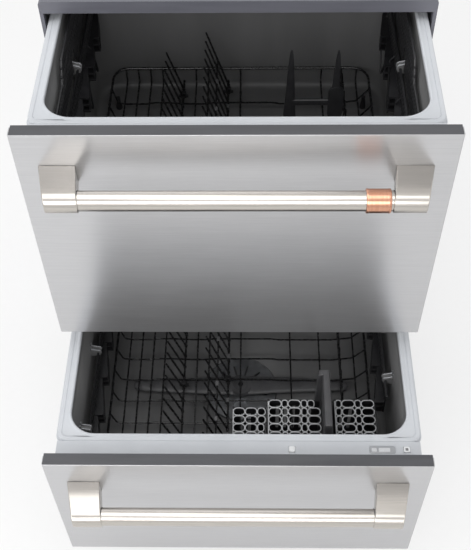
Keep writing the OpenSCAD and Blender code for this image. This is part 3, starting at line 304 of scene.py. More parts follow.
def join(tree, *wires):
    """Links nodes; a wire names a node and its output, then a node and its input."""
    for source, out, target, into in wires:
        tree.links.new(source.outputs[out], target.inputs[into])


def finish(name, base, second, rough, metallic=0.0, stretch=(1, 1, 1), scale=60, detail=4,
           fine=900, grain=0.05, depth=0.1, **sockets):
    """A finish with mottled colour and roughness, and a bump of a fine scale. Stretch draws both out."""
    made = bpy.data.materials.new(name)
    made.use_nodes = True
    tree = made.node_tree
    shader = tree.nodes["Principled BSDF"]
    fill(shader, {"Metallic": metallic, **sockets})
    place = add_node(tree, "TexCoord")
    mapping = add_node(tree, "Mapping", Scale=stretch)
    mottle = add_node(tree, "TexNoise", Scale=scale, Detail=detail)
    grains = add_node(tree, "TexNoise", Scale=fine, Detail=2)
    ramp = add_node(tree, "ValToRGB")
    for element, position, colour in zip(ramp.color_ramp.elements, (0.32, 0.68), (base, second)):
        element.position = position
        element.color = (*colour, 1)
    spread = add_node(tree, "MapRange", From_Min=0.3, From_Max=0.7, To_Min=rough[0], To_Max=rough[1])
    bump = add_node(tree, "Bump", Strength=grain, Distance=depth * MM)
    join(tree, (place, "Object", mapping, "Vector"), (mapping, "Vector", mottle, "Vector"),
         (mapping, "Vector", grains, "Vector"), (mottle, "Fac", ramp, "Fac"),
         (ramp, "Color", shader, "Base Color"), (mottle, "Fac", spread, "Value"),
         (spread, "Result", shader, "Roughness"), (grains, "Fac", bump, "Height"),
         (bump, "Normal", shader, "Normal"))
    return made


STEEL = finish("brushed_steel", (0.52, 0.52, 0.53), (0.56, 0.56, 0.57), (0.28, 0.33), 0.85,
               stretch=(0.02, 1, 1), scale=900, detail=2, fine=2200,
               Anisotropic=0.65, Anisotropic_Rotation=0.25)
NICKEL = finish("satin_nickel", (0.48, 0.455, 0.42), (0.52, 0.49, 0.455), (0.2, 0.27), 1.0,
                stretch=(0.03, 1, 1), scale=700, fine=1800, grain=0.06)
COPPER = finish("brushed_copper", (0.66, 0.35, 0.24), (0.56, 0.28, 0.18), (0.16, 0.24), 1.0,
                stretch=(1, 0.05, 0.05), scale=700, fine=1500, grain=0.12)
GREY_METAL = (0.42, 0.43, 0.45), (0.5, 0.51, 0.53)
ZINC = finish("zinc_sheet", *GREY_METAL, (0.52, 0.64), 0.85, scale=45, detail=8, fine=500)
RAIL = finish("rail_steel", (0.48, 0.49, 0.51), (0.56, 0.57, 0.59), (0.28, 0.4), 1.0,
              stretch=(1, 0.03, 1), scale=300, grain=0.1)
FILTER = finish("filter_steel", *GREY_METAL, (0.4, 0.52), 1.0, scale=120, grain=0.1)
TRIM = finish("graphite_trim", (0.125, 0.127, 0.15), (0.145, 0.147, 0.172), (0.3, 0.42),
              stretch=(0.1, 1, 1), scale=90, fine=1400, grain=0.12)
DOOR = finish("graphite_door", (0.055, 0.056, 0.062), (0.069, 0.07, 0.077), (0.32, 0.44),
              stretch=(0.1, 1, 1), scale=90, fine=1400, grain=0.12)
RIM = finish("rim_plastic", (0.54, 0.56, 0.59), (0.57, 0.59, 0.62), (0.34, 0.44),
             scale=25, fine=1800, grain=0.1)
TUB = finish("tub_plastic", (0.168, 0.168, 0.17), (0.194, 0.194, 0.196), (0.38, 0.5),
             stretch=(1, 1, 0.2), scale=18, fine=1200, grain=0.12)
TUB_LIGHT = finish("spray_arm_plastic", (0.1, 0.1, 0.105), (0.12, 0.12, 0.125), (0.34, 0.46),
                   scale=40, fine=1200, grain=0.12)
COATING = finish("rack_coating", (0.01, 0.01, 0.011), (0.018, 0.018, 0.019), (0.2, 0.32),
                 scale=150, fine=700, grain=0.15)
BLACK = finish("black_plastic", (0.016, 0.016, 0.018), (0.026, 0.026, 0.028), (0.34, 0.48),
               scale=50, fine=1500, grain=0.2)
SHADE = finish("grey_plastic", (0.16, 0.16, 0.165), (0.2, 0.2, 0.205), (0.34, 0.46),
               fine=1500, grain=0.12)
GRIP = finish("grip_plastic", (0.045, 0.045, 0.048), (0.06, 0.06, 0.063), (0.36, 0.48),
              scale=50, fine=1500, grain=0.15)
PALE = finish("pale_plastic", (0.52, 0.53, 0.54), (0.58, 0.59, 0.6), (0.34, 0.46),
              fine=1500, grain=0.12)
WHITE = finish("button_white", (0.8, 0.81, 0.82), (0.85, 0.86, 0.87), (0.18, 0.26),
               scale=80)
GLASS = finish("display_glass", (0.36, 0.37, 0.39), (0.4, 0.41, 0.43), (0.06, 0.1),
               scale=40, grain=0.01)
LIT = finish("display_blocks", (0.66, 0.67, 0.69), (0.7, 0.71, 0.73), (0.2, 0.28),
             grain=0.02)
RUBBER = finish("seal_rubber", (0.05, 0.05, 0.053), (0.07, 0.07, 0.073), (0.55, 0.7),
                scale=80, grain=0.3)
PAINTS = dict(galvanised=ZINC, brushed_steel=STEEL, rail_steel=RAIL, filter_steel=FILTER,
              nickel=NICKEL, copper=COPPER, dark_trim=TRIM, rim_plastic=RIM, tub_plastic=TUB,
              rack_coating=COATING, black_plastic=BLACK, pale_plastic=PALE, button_white=WHITE)

for part in frame["record"]["subparts"]:
    item = frame["nodes"][part["node"]]
    item.data.materials.clear()
    paint = DOOR if part["node"].endswith("door_frame") else PAINTS[part["material_slot"]]
    item.data.materials.append(paint)

# --- drawer front


def inside(outer, wall):
    """A flat outline's width, length and radius, drawn in by a wall."""
    w, l, r = outer
    return (w - 2 * wall, l - 2 * wall, max(r - wall, 0.5))


def front_panel(d):
    """The steel skin: a sheet with bent sides and a folded lower edge."""
    low, high = PANEL_LOW[d], RIM_DROP
    flat = []
    for side, shell in ((1, 0), (-1, SKIN_T)):
        half, r = PANEL_HALF - shell, SKIN_R - shell
        left = [(-half, SKIN_RETURN)]
        left += [(-half + r - r * cos(a), shell + r - r * sin(a)) for a in angles(0, 90, 4)]
        right = [(-x, y) for x, y in reversed(left)]
        flat += (left + right)[::side]
    skin = own(d).prism(flat, low + 0.6, high)
    fold = [(0.3, low + 2), (0.5, low + 0.9), (1.2, low + 0.15), (2.4, low), (SKIN_RETURN, low),
            (SKIN_RETURN, low + SKIN_T), (2.4, low + SKIN_T), (1.4, low + 2)]
    skin.prism(fold, -PANEL_HALF + 1.5, PANEL_HALF - 1.5, axis="x")
    skin.piece("steel_skin", "drawer", STEEL, ["front_panel"], bevel=0.25)


def post_x(y, side):
    """How far a post's inner or outer face is from the middle, at a place in front of the panel."""
    back, nose = POST_INNER if side == "inner" else POST_OUTER
    return back + (nose - back) * -y / (BAR_OUT + NOSE_R)


def handle(d):
    """Two posts with round noses, and the bar that enters them."""
    nose = [(-BAR_OUT - NOSE_R * sin(a), BAR_UP + NOSE_R * cos(a)) for a in angles(0, 180, 16)]
    flat = [(0, BAR_UP - NOSE_R), (0, BAR_UP + NOSE_R)] + nose
    posts = own(d)
    for side in (-1, 1):
        posts.loft([[(side * post_x(y, face), y, z) for y, z in flat] for face in ("inner", "outer")])
    posts.piece("posts", "drawer", NICKEL, ["handle_posts"], bevel=1.3)
    half = POST_INNER[0] + BAR_INTO_POST
    bar = own(d).turned([(BAR_R, -half), (BAR_R, half)], BAR_AT, "x", 72)
    bar.piece("bar", "drawer", NICKEL, ["handle_bar"])
    # A thin dark joint where the bar enters each post
    joint = own(d)
    for side in (-1, 1):
        x = side * (post_x(-BAR_OUT, "inner") - 0.3)
        joint.turned([(BAR_R - 1, x - 0.5), (BAR_R + 0.5, x - 0.5), (BAR_R + 0.5, x + 0.5),
                      (BAR_R - 1, x + 0.5)], BAR_AT, "x", 48)
    joint.piece("bar_joints", "drawer", BLACK)


def copper_ring():
    """The ring round the handle bar, with a raised band at each end."""
    half = [(BAR_R + 0.1, 0), (RING_R - 1.0, 0), (RING_R - 0.3, 0.4), (RING_R, 1.2),
            (RING_R, 3.2), (RING_R - 0.35, 3.6)]
    profile = [(r, RING_END - RING_L + x) for r, x in half]
    profile += [(r, RING_END - x) for r, x in half[::-1]]
    ring = Form(ORIGIN["upper"]).turned(profile, BAR_AT, "x", 96)
    ring.piece("copper_ring", "upper_drawer", COPPER, ["handle_ring"], sharp=25)


def controls(d):
    """Display window, the marks beside it, and the two buttons."""
    flat = lambda w, l, r, x: outline(w, l, r, (x, BUTTON_Y), 4)
    pane = flat(DISPLAY_W, DISPLAY_L, 3, DISPLAY_X)
    window = own(d).layers([(pane, -0.75), (pane, -0.35),
                                     (flat(DISPLAY_W - 1, DISPLAY_L - 1, 2.5, DISPLAY_X), -0.1)])
    window.piece("display", "drawer", GLASS)
    marks = own(d)
    for x, w, l in DISPLAY_BLOCKS:
        marks.prism(flat(w, l, 1, DISPLAY_X + x), -0.12, 0)
    marks.piece("display_blocks", "drawer", LIT)
    for name, x in (("power", POWER_X), ("start", START_X)):
        square = lambda w, r: outline(w, w, r, (x, BUTTON_Y), 6)
        foot, head = square(BUTTON_FOOT, 1), square(BUTTON_W, 2.4)
        cap = own(d).layers([(foot, -4.6), (foot, -3), (head, -2.9), (head, 1.3),
                                      (square(BUTTON_W - 0.7, 2.2), 1.85),
                                      (square(BUTTON_W - 2, 1.8), BUTTON_UP),
                                      (square(BUTTON_W - 4, 1.2), 1.75)])
        cap.piece(name + "_cap", name + "_button", WHITE, [name + "_button"])
        if name == "start":
            inner = own(d).prism(square(4.4, 0.8), 1.6, 1.9)
            inner.piece("start_mark", "start_button", SHADE)


# --- rim and tub


def opening(extra=0.0):
    """The outline of the tub's opening, drawn out by a distance."""
    return outline(2 * (OPEN_HALF + extra), OPEN_L + 2 * extra, OPEN_R + extra, (0, OPEN_MID), 12)


def rim(d):
    """The pale frame round the tub: a skirt with a lip, a shallow groove and a raised inner bead."""
    length, mid = RIM_END - RIM_FRONT, (0, (RIM_END + RIM_FRONT) / 2)

    def edge(inset, z):
        return outline(2 * (RIM_HALF - inset), length - 2 * inset, RIM_R - min(inset, 12), mid, 12), z
    lip = outline(2 * LIP_HALF, length, RIM_R, mid, 12)
    stack = [(lip, -SKIRT_H), (lip, -SKIRT_H + 2), edge(0, -SKIRT_H + 2.01), edge(0, -3.2),
             edge(0.4, -1.6), edge(1.3, -0.5), edge(3, 0), edge(7.2, 0), edge(7.7, -0.7),
             edge(8.2, -0.7), edge(8.7, 0)]
    stack += [(opening(out), z) for out, z in
              ((6.2, 0), (5, 0.5), (4.2, 1.2), (3, 1.5), (1.8, 1.4), (0.6, 0.7), (0, -0.6),
               (0, -RIM_T), (4, -RIM_T))]
    stack += [edge(SKIRT_T, -RIM_T), edge(SKIRT_T, -SKIRT_H)]
    moulding = own(d).layers(stack, closed=True)
    moulding.piece("rim_moulding", "drawer", RIM, ["rim"], sharp=50)


def lug_places(d, side):
    """Where the lugs stand that carry a cup rack's rod."""
    start, end = CUP_SPAN[d, side]
    return start + LUG_IN, (start + end) / 2, end - LUG_IN


def tub(d):
    """The dark moulding with ribs outside, a sump in its floor, and lugs for the cup racks."""
    depth, wall = TUB_DEPTH[d], TUB_WALL
    circle = lambda r: outline(2 * r, 2 * r, r, (0, OPEN_MID), 12)

    def well(out, low, r):
        """The rounded foot of the tub, from its wall to its floor."""
        return [(opening(out - r + r * cos(a)), low + r - r * sin(a)) for a in angles(0, 90, 5)]
    outer = [(opening(wall), -RIM_T)]
    for z in (-76, -depth * 0.55, -depth + 34):
        rib = opening(wall + TUB_RIB)
        outer += [(opening(wall), z + 2), (rib, z + 1.5), (rib, z - 1.5), (opening(wall), z - 2)]
    outer += well(wall, -depth - wall, FLOOR_R + wall)
    outer += [(circle(SUMP_R + wall + 3), -depth - wall), (circle(SUMP_R + wall), -depth - wall - 3),
              (circle(SUMP_R + wall), -depth - SUMP_DEPTH + 1),
              (circle(SUMP_R), -depth - SUMP_DEPTH - wall), (circle(6), -depth - SUMP_DEPTH - wall)]
    inner = [(circle(6), -depth - SUMP_DEPTH), (circle(SUMP_R - 4), -depth - SUMP_DEPTH),
             (circle(SUMP_R), -depth - SUMP_DEPTH + 4), (circle(SUMP_R), -depth - 2),
             (circle(SUMP_R + 2), -depth)]
    inner += well(0, -depth, FLOOR_R)[::-1]
    inner += [(opening(0), -TUB_STEP - 1), (opening(0.9), -TUB_STEP), (opening(0.9), -RIM_T)]
    shell = own(d).layers(outer + inner, closed=True)
    for side in (-1, 1):
        root, tip = side * (OPEN_HALF + 1), side * (CUP_X - LUG_HALF)
        for y in BOSSES:
            shell.box((root, y, BOSS_LOW), (side * RAIL_INNER, y + BOSS_L, BOSS_TOP))
        for z in (-depth + 12, -STRIP_H - 34):
            shell.box((side * RIB_X, DOOR_T, z), (side * (RIB_X + RIB_W), OPEN_FRONT - 2, z + RIB_H))
        for y in lug_places(d, side):
            flat = [(tip, -CUP_DOWN - LUG_HALF), (root, -CUP_DOWN - 12), (root, -CUP_DOWN + 8),
                    (tip, -CUP_DOWN + LUG_HALF)]
            shell.prism(flat, y - LUG_W / 2, y + LUG_W / 2, axis="y")
    shell.piece("tub_moulding", "drawer", TUB, ["tub"], sharp=50)
    clips = own(d)
    for side in (-1, 1):
        for y in lug_places(d, side):
            hook = [(OPEN_HALF - 1, 17), (OPEN_HALF - 1.2, 10)]
            hook += [(CUP_X + 1 - HOOK_R * sin(a), 1 + HOOK_R * cos(a))
                     for a in angles(-10, 140, 5)]
            for step in (-HOOK_STEP, HOOK_STEP):
                clips.tube([(side * x, y + step, z - CUP_DOWN) for x, z in hook], HOOK_WIRE)
    clips.piece("hanger_clips", "drawer", ZINC)


# --- racks


def rack(d):
    """The floor rack: a loop of wire, wires both ways, short tines, feet and cradles for the rods."""
    floor = -TUB_DEPTH[d]
    low, loop_z = floor + RACK_LIFT + WIRE, floor + RACK_LIFT + LOOP_UP + WIRE
    cross_z, dip_z = low - 2.6, low - 5.6
    half, front, back = RACK_HALF - WIRE, RACK_FRONT + WIRE, RACK_BACK - WIRE
    wires = own(d)
    ring = outline(2 * half, back - front, RACK_R, (0, OPEN_MID))
    wires.tube([(x, y, loop_z) for x, y in ring], LOOP_R, 10, closed=True)
    for x in LONG_WIRES:
        path = bend([(x, front, loop_z), (x, front + 1, low), (x, back - 1, low), (x, back, loop_z)], 9)
        wires.tube(path, WIRE)
    left, right = -half, half
    for k in range(CROSS_COUNT):
        y = RACK_FRONT + (k + 0.5) * CROSS_PITCH + WIRE
        into = max(front + RACK_R - y, y - back + RACK_R, 0)
        corner = RACK_R - math.sqrt(RACK_R ** 2 - into ** 2)
        path = [(left + corner, y, loop_z), (left + corner + 9, y, cross_z), (-213, y, dip_z),
                (-176, y, dip_z), (-158, y, cross_z), (-136, y, cross_z), (-96, y, dip_z),
                (-70, y, dip_z), (-52, y, cross_z), (60, y, cross_z), (74, y, dip_z),
                (176, y, dip_z), (right - corner - 22, y, cross_z + 4), (right - corner, y, loop_z)]
        wires.tube(bend(path, 7, 3), WIRE)
    for k in range(SHORT_COUNT):
        y = SHORT_FROM + k * TINE_PITCH
        path = [(SHORT_X, y, low), (SHORT_X, y, low + 10), (SHORT_X - SHORT_LEAN, y, low + SHORT_L - 2)]
        wires.tube(bend(path, 6, 3), TINE_R - 0.2, round_ends=True)
    # A straight wire ties the short tines
    wires.tube([(SHORT_X - 2, y, low + 30) for y in
                (SHORT_FROM - 6, SHORT_FROM + (SHORT_COUNT - 1) * TINE_PITCH + 6)], 1.4,
               round_ends=True)
    wires.piece("rack_wires", "drawer", COATING, ["base_rack"])
    trims = own(d)
    for x in (-half + 7.4, half - 7.4):
        for y in (front + RACK_FOOT_IN, back - RACK_FOOT_IN):
            trims.turned([(4, floor + 0.3), (6, floor + 1.2), (5.2, floor + 8), (3.6, floor + 20),
                          (3.6, low + 2)], (x, y, 0), "z", 20)
    for name, (x, length, start, tie) in ROWS.items():
        for step in CRADLES:
            y = start + step * TINE_PITCH
            flat = [(x - 5, low - 3), (x + 5, low - 3), (x + 5, floor + ROD_UP + 2),
                    (x + 3.4, floor + ROD_UP + 4), (x - 3.4, floor + ROD_UP + 4),
                    (x - 5, floor + ROD_UP + 2)]
            trims.prism(flat, y - 4, y + 4, axis="y")
            trims.box((x - 9, y - 2.4, low - 3), (x + 9, y + 2.4, low + 1.2))
    trims.piece("rack_fittings", "drawer", BLACK, bevel=0.7)


def blade(form, x, y, low, high, width, thick):
    """A tall tapering blade with a rounded tip and thinner edges."""
    rings = []
    for share in (0, 0.12, 0.35, 0.6, 0.8, 0.92, 0.975, 1.0):
        half = width / 2 * (1 - 0.12 * share / 0.35) if share <= 0.35 else \
            width / 2 * (0.88 - 0.66 * (share - 0.35) / 0.65)
        if share > 0.95:
            half *= 0.8 if share < 1 else 0.45
        t = thick / 2 * (1 - 0.35 * share)
        rings.append([(x + half * u, y + t * v, low + (high - low) * share)
                      for u, v in ((-1, -0.4), (-0.82, -1), (0, -0.8), (0.82, -1), (1, -0.4),
                                   (1, 0.4), (0.82, 1), (0, 0.8), (-0.82, 1), (-1, 0.4))])
    form.loft(rings)


def upper_fins():
    """Two tall fins on the upper rack, joined by a bar and a foot rail."""
    floor = -TUB_DEPTH["upper"] + RACK_LIFT
    fins = Form(ORIGIN["upper"])
    for x in FINS:
        blade(fins, x, FIN_Y, floor, FIN_TOP, FIN_W, FIN_T)
        fins.loft([[(x + u, FIN_Y + v, z) for u, v in outline(34 - s, 14 - s, 4, (0, 0), 3)]
                   for z, s in ((floor - 1, 2), (floor + 1, 0), (floor + 5, 0), (floor + 9, 5))])
    bar = floor + FIN_BAR_UP
    fins.bar(lambda v, w, x: (x, FIN_Y + v, bar + w), (6, 12, 2.4), (FINS[0] + 4, FINS[1] - 4), 3)
    fins.bar(lambda v, w, x: (x, FIN_Y + v, floor + 3 + w), (7, 5, 1.5), (FINS[0] - 18, FINS[1] + 18), 3)
    # A rounded plate stiffens the right fin where the bar meets it
    fins.bar(lambda u, v, y: (FINS[1] + 1 + u, y, bar + v), (25, 64, 11), (FIN_Y - 3.4, FIN_Y + 2.6), 5)
    fins.piece("upper_rack_fins", "upper_drawer", BLACK, sharp=45)


def tine_rows(d):
    """The folding rows of tines, each on its rod; the right row has a tie wire with beads."""
    low = -TUB_DEPTH[d] + ROD_UP
    lean = radians(LEAN)
    for name, (x, length, start, tie) in ROWS.items():
        row = own(d)
        put = lambda y, up: (x - up * sin(lean), y, low + up * cos(lean))
        row.tube([(x, y, low) for y in (RACK_FRONT + ROD_END, RACK_BACK - ROD_END)], ROD_R - 0.05, 12,
                 round_ends=True)
        for k in range(TINES):
            y = start + k * TINE_PITCH
            row.tube([put(y, 0), put(y, length * 0.5), put(y, length - 2)],
                     [TINE_R, TINE_R, TINE_R - 0.25], round_ends=True)
            row.tube([put(y + step, 0) for step in (-3, 0, 3)], [ROD_R, ROD_R + 0.9, ROD_R], 12)
        if tie:
            row.tube([put(start - 3, tie), put(start + (TINES - 1) * TINE_PITCH + 3, tie)],
                     1.7, round_ends=True)
        row.piece(name + "_tine_wires", name + "_tines", COATING, [name + "_tines"])
        if tie:
            clips = own(d)
            for k in BEADS:
                y = start + (k + 0.5) * TINE_PITCH
                for up, thin, thick in ((tie, 1.8, 3.1), (0, 2.2, 3.3)):
                    clips.tube([put(y + step, up) for step in (-5, -4, 4, 5)],
                               [thin, thick, thick, thin], 12)
            clips.piece(name + "_tine_beads", name + "_tines", SHADE)


def ladder_top(y):
    """The height of a side grid's top edge, which steps up behind the front third."""
    share = min(1, max(0, (y - LADDER_STEP + STEP_L / 2) / STEP_L))
    return LADDER_FORE + share * (LADDER_TOP - LADDER_FORE)


def cup_racks(d):
    """The swinging side racks: a rod, a ladder of bars under it and a toothed shelf."""
    for name, side in (("left", -1), ("right", 1)):
        start, end = CUP_SPAN[d, side]
        leaf = own(d)
        put = lambda x, y, z: (side * (CUP_X + x), y, -CUP_DOWN + z)
        leaf.tube([put(0, start - 3.5, 0), put(0, end + 3.5, 0)], CUP_ROD_R - 0.05, 12, round_ends=True)
        bars = int((end - start) / CUP_BAR_PITCH)
        for k in range(bars + 1):
            y = start + 3 + k * (end - start - 6) / bars
            # The bars near a lug stop below it
            top = -9 if min(abs(y - lug) for lug in lug_places(d, side)) < 9 else 0
            leaf.bar(lambda u, v, z: put(u, y + v, z), (2.6, 6, 1), (top, -CUP_LEAF + 1))
        for z in (-13, -CUP_LEAF + 3):
            leaf.bar(lambda u, w, y: put(u, y, z + w), (2.8, 5, 1.2), (start + 0.5, end - 0.5))
        teeth = int((end - start - 4) / TOOTH_PITCH)
        for k in range(teeth):
            y = start + 2 + k * TOOTH_PITCH
            flat = [(0, y), (-TOOTH_HIGH, y + 1), (-TOOTH_HIGH, y + 8),
                    (-TOOTH_LOW, y + TOOTH_PITCH - 1), (0, y + TOOTH_PITCH - 1)]
            for z, t in ((-CUP_LEAF, 3), (-CUP_LEAF + 13, 2.6), (-CUP_LEAF + TOOTH_H - 3, 3)):
                leaf.loft([[put(u, v, w) for u, v in flat] for w in (z, z + t)])
            for u, v in ((-TOOTH_HIGH + 1.5, 4.5), (-TOOTH_HIGH * 0.72, 30), (-TOOTH_LOW - 1, 62)):
                leaf.tube([put(u, y + v, z - CUP_LEAF) for z in (1, TOOTH_H - 1)], 1.5, 6)
        for top_y, top_z, tip_y, tip_z in (CUP_PRONGS[side] if d == "upper" else ()):
            path = [(side * CUP_X, top_y, top_z + 10), (side * PRONG_X, top_y, top_z),
                    (side * PRONG_X, tip_y, tip_z), (side * CUP_X, tip_y - 16, -CUP_DOWN - CUP_LEAF + 2)]
            leaf.tube(bend(path, 5, 4), PRONG_R, round_ends=True)
        leaf.piece(name + "_cup_shelf", name + "_cup_rack", BLACK, [name + "_cup_rack"],
                   bevel=0.4)


def side_ladders():
    """Fixed black grids on the upper tub's side walls, between the rim and the cup racks' rods; their
    wide, close bars also stand in for the shade between the slats, as painted shade.
    """
    grid = Form(ORIGIN["upper"])
    low = -CUP_DOWN + CUP_ROD_R + 3
    for side in (-1, 1):
        lugs = lug_places("upper", side)
        first, last = CUP_SPAN["upper", side]
        count = int((last - first) / LADDER_PITCH)
        put = lambda x, y, z: (side * (LADDER_X + x), y, z)
        for k in range(count + 1):
            y = first + k * LADDER_PITCH
            foot = low + 26 if min(abs(y - g) for g in lugs) < 10 else low
            # Wide bars with narrow gaps: their black covers the shaded wall between the slats, a painted
            # shade
            grid.bar(lambda u, v, z: put(u, y + v, z), (3, LADDER_BAR, 1), (foot, ladder_top(y)))
        for share in (0.12, 0.5, 1):
            rail = [(y, low + 26 + (ladder_top(y) - low - 28) * share)
                    for y in (first - 2, LADDER_STEP - STEP_L / 2, LADDER_STEP + STEP_L / 2, last + 2)]
            grid.bar(lambda u, w, place: put(u, place[0], place[1] + w), (4, 5, 1.4), rail)
        for y in lugs:
            for edge in (-13, 13):
                grid.prism([(side * (LADDER_X - 1), low + 20), (side * (OPEN_HALF + 1), low + 24),
                            (side * (OPEN_HALF + 1), low + 32), (side * (LADDER_X - 1), low + 30)],
                           y + edge - 2, y + edge + 2, axis="y")
    grid.piece("upper_side_grids_and_painted_shade", "upper_drawer", BLACK, bevel=0.4)


# --- cutlery baskets


def basket_flat(name, inset):
    """A basket's outline, drawn in by a distance; one of them has its front corner cut off."""
    x, w, l, cut = BASKETS[name]
    left, right, front = x + inset, x + w - inset, BASKET_FRONT + inset
    back, side = BASKET_FRONT + l - inset, cut + inset * 0.4
    corner = [(right - side, front), (right - side * 0.3, front + side * 0.3), (right, front + side)]
    return [(left, front)] + (corner if cut else [(right, front)]) + [(right, back), (left, back)]


def baskets():
    """A rim band and ribs round each slotted basket, and the tall grip between two of them."""
    bands = Form(ORIGIN["lower"])
    for name in BASKETS:
        flat = lambda inset: basket_flat(name, inset)
        bands.layers([(flat(0.3), BASKET_TOP - 8), (flat(-0.5), BASKET_TOP - 7),
                      (flat(-0.5), BASKET_TOP - 1), (flat(0.1), BASKET_TOP - 0.3),
                      (flat(1.6), BASKET_TOP - 0.3), (flat(1.6), BASKET_TOP - 8)], closed=True)
        bands.layers([(flat(0.3), BASKET_LOW + 10), (flat(-0.4), BASKET_LOW + 9.4),
                      (flat(-0.4), BASKET_LOW + 6.6), (flat(0.3), BASKET_LOW + 6)], closed=True)
    bands.piece("basket_bands", "lower_drawer", BLACK)
    left, right = BASKETS["middle"][0] + BASKETS["middle"][1], BASKETS["right"][0]
    top = left - 1.5
    back = BASKET_FRONT + BASKETS["middle"][2]
    section = [(left + 0.8, BASKET_LOW), (right - 0.8, BASKET_LOW), (right - 3, BASKET_TOP),
               (top + GRIP_W + 0.6, GRIP_TOP - 22), (top + GRIP_W, GRIP_TOP - 3),
               (top + GRIP_W - 1, GRIP_TOP - 0.8), (top + GRIP_W - 3, GRIP_TOP),
               (top + 3, GRIP_TOP), (top + 1, GRIP_TOP - 0.8), (top, GRIP_TOP - 3),
               (left + 0.8, BASKET_TOP)]
    grip = Form(ORIGIN["lower"]).prism(section, BASKET_FRONT, back + GRIP_BACK, axis="y")
    foot = [(left - 11, BASKET_LOW), (left + 2, BASKET_LOW), (left + 2, GRIP_TOP),
            (top - 2, GRIP_TOP), (left - 7.5, GRIP_TOP - 3), (left - 9, GRIP_TOP - 9)]
    grip.prism(foot, back + 0.8, back + GRIP_BACK, axis="y")
    grip.box((left, BASKET_FRONT + CLIP_FROM, BASKET_LOW),
             (right, BASKET_FRONT + CLIP_FROM + CLIP_L, BASKET_LOW + CLIP_H))
    grip.piece("grip_moulding", "lower_drawer", GRIP, ["basket_grip"], bevel=1.2)


def honeycomb_lid(name, columns, narrow):
    """A lid of rings that touch. Columns gives their widths, and narrow those that are cut short."""
    x, w, l, cut = BASKETS[name]
    low, high = BASKET_TOP + 0.45, BASKET_TOP + 2.75
    rows = round((l - 2) / ROW_PITCH)
    pitch = (l - 1.6) / rows
    lid = Form(ORIGIN["lower"])

    def ring(mid, width):
        r = min(width, pitch) / 2 * 0.92
        flat = lambda s: outline(width + 0.3 - 2 * s, pitch + 0.3 - 2 * s, r - s * 0.8, mid, 5)
        lid.layers([(flat(0), low), (flat(0), high - 0.6), (flat(0.45), high), (flat(RING_BAR), high),
                    (flat(RING_BAR + 0.45), high - 0.6), (flat(RING_BAR + 0.3), low)], closed=True)
    for row in range(rows):
        front = BASKET_FRONT + 0.8 + row * pitch
        left = x + (w - sum(columns)) / 2 + 0.4
        for k, column in enumerate(columns):
            width = column * narrow.get((row, k), 1)
            if front < BASKET_FRONT + cut:
                width = min(width, x + w - cut + front - BASKET_FRONT - left)
            if width > 4:
                ring((left + width / 2, front + pitch / 2), width)
            left += column
    lid.tube([(x + 1.7, y, BASKET_TOP + 1.6) for y in (BASKET_FRONT + 0.6, BASKET_FRONT + l - 0.6)],
             RING_BAR, 10, round_ends=True)
    lid.piece(name + "_lid_rings", name + "_basket_lid", PALE, [name + "_basket_lid"])


# --- tub lids


def tub_lid(d):
    """A pan with ribs inside and guide pins at its sides, and the seal under it."""
    lo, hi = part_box(d + "_lid")
    mid_y, length = (lo.y + hi.y) / 2, (hi.y - lo.y) / MM
    half, end, rib = RIM_HALF - SKIRT_T, length / 2 - 3, LID_RIB / 2
    flat = lambda s: outline(2 * (half - s), length - 2 * s, RIM_R - min(s, 10))
    form = Form((0, mid_y, lo.z), d + "_")
    form.layers([(flat(3), 3), (flat(0.8), 3.6), (flat(0), 5), (flat(0), 17), (flat(2.5), 17),
                 (flat(2.5), 6), (flat(8), 5.5)])
    for x in range(-240, 241, LID_RIB_PITCH):
        form.box((x - rib, -end, 5.4), (x + rib, end, 11))
    for y in range(-180, 181, LID_RIB_PITCH):
        form.box((-half + 3, y - rib, 5.4), (half - 3, y + rib, 11))
    for side in (-1, 1):
        for y in (-length / 2 + 30, length / 2 - 60):
            xs = sorted((side * (half - 2), side * (hi.x / MM)))
            form.turned([(3, xs[0]), (3, xs[1] - 0.6), (2.4, xs[1])], (0, y, 10), "x", 20)
    form.piece("lid_pan", "tub_lid", RIM, ["lid"], sharp=40)
    seal = Form((0, mid_y, lo.z), d + "_")
    ring = lambda s: outline(2 * (OPEN_HALF + s), OPEN_L + 2 * s, OPEN_R + s, (0, SEAL_SHIFT), 10)
    seal.layers([(ring(9), 3.2), (ring(9), 1.6), (ring(8), 0.9), (ring(6), 0.2), (ring(4), 0),
                 (ring(2), 0.3), (ring(0.4), 1.2), (ring(0), 3.2)], closed=True)
    seal.piece("lid_seal", "tub_lid", RUBBER, sharp=60)


# --- wash system


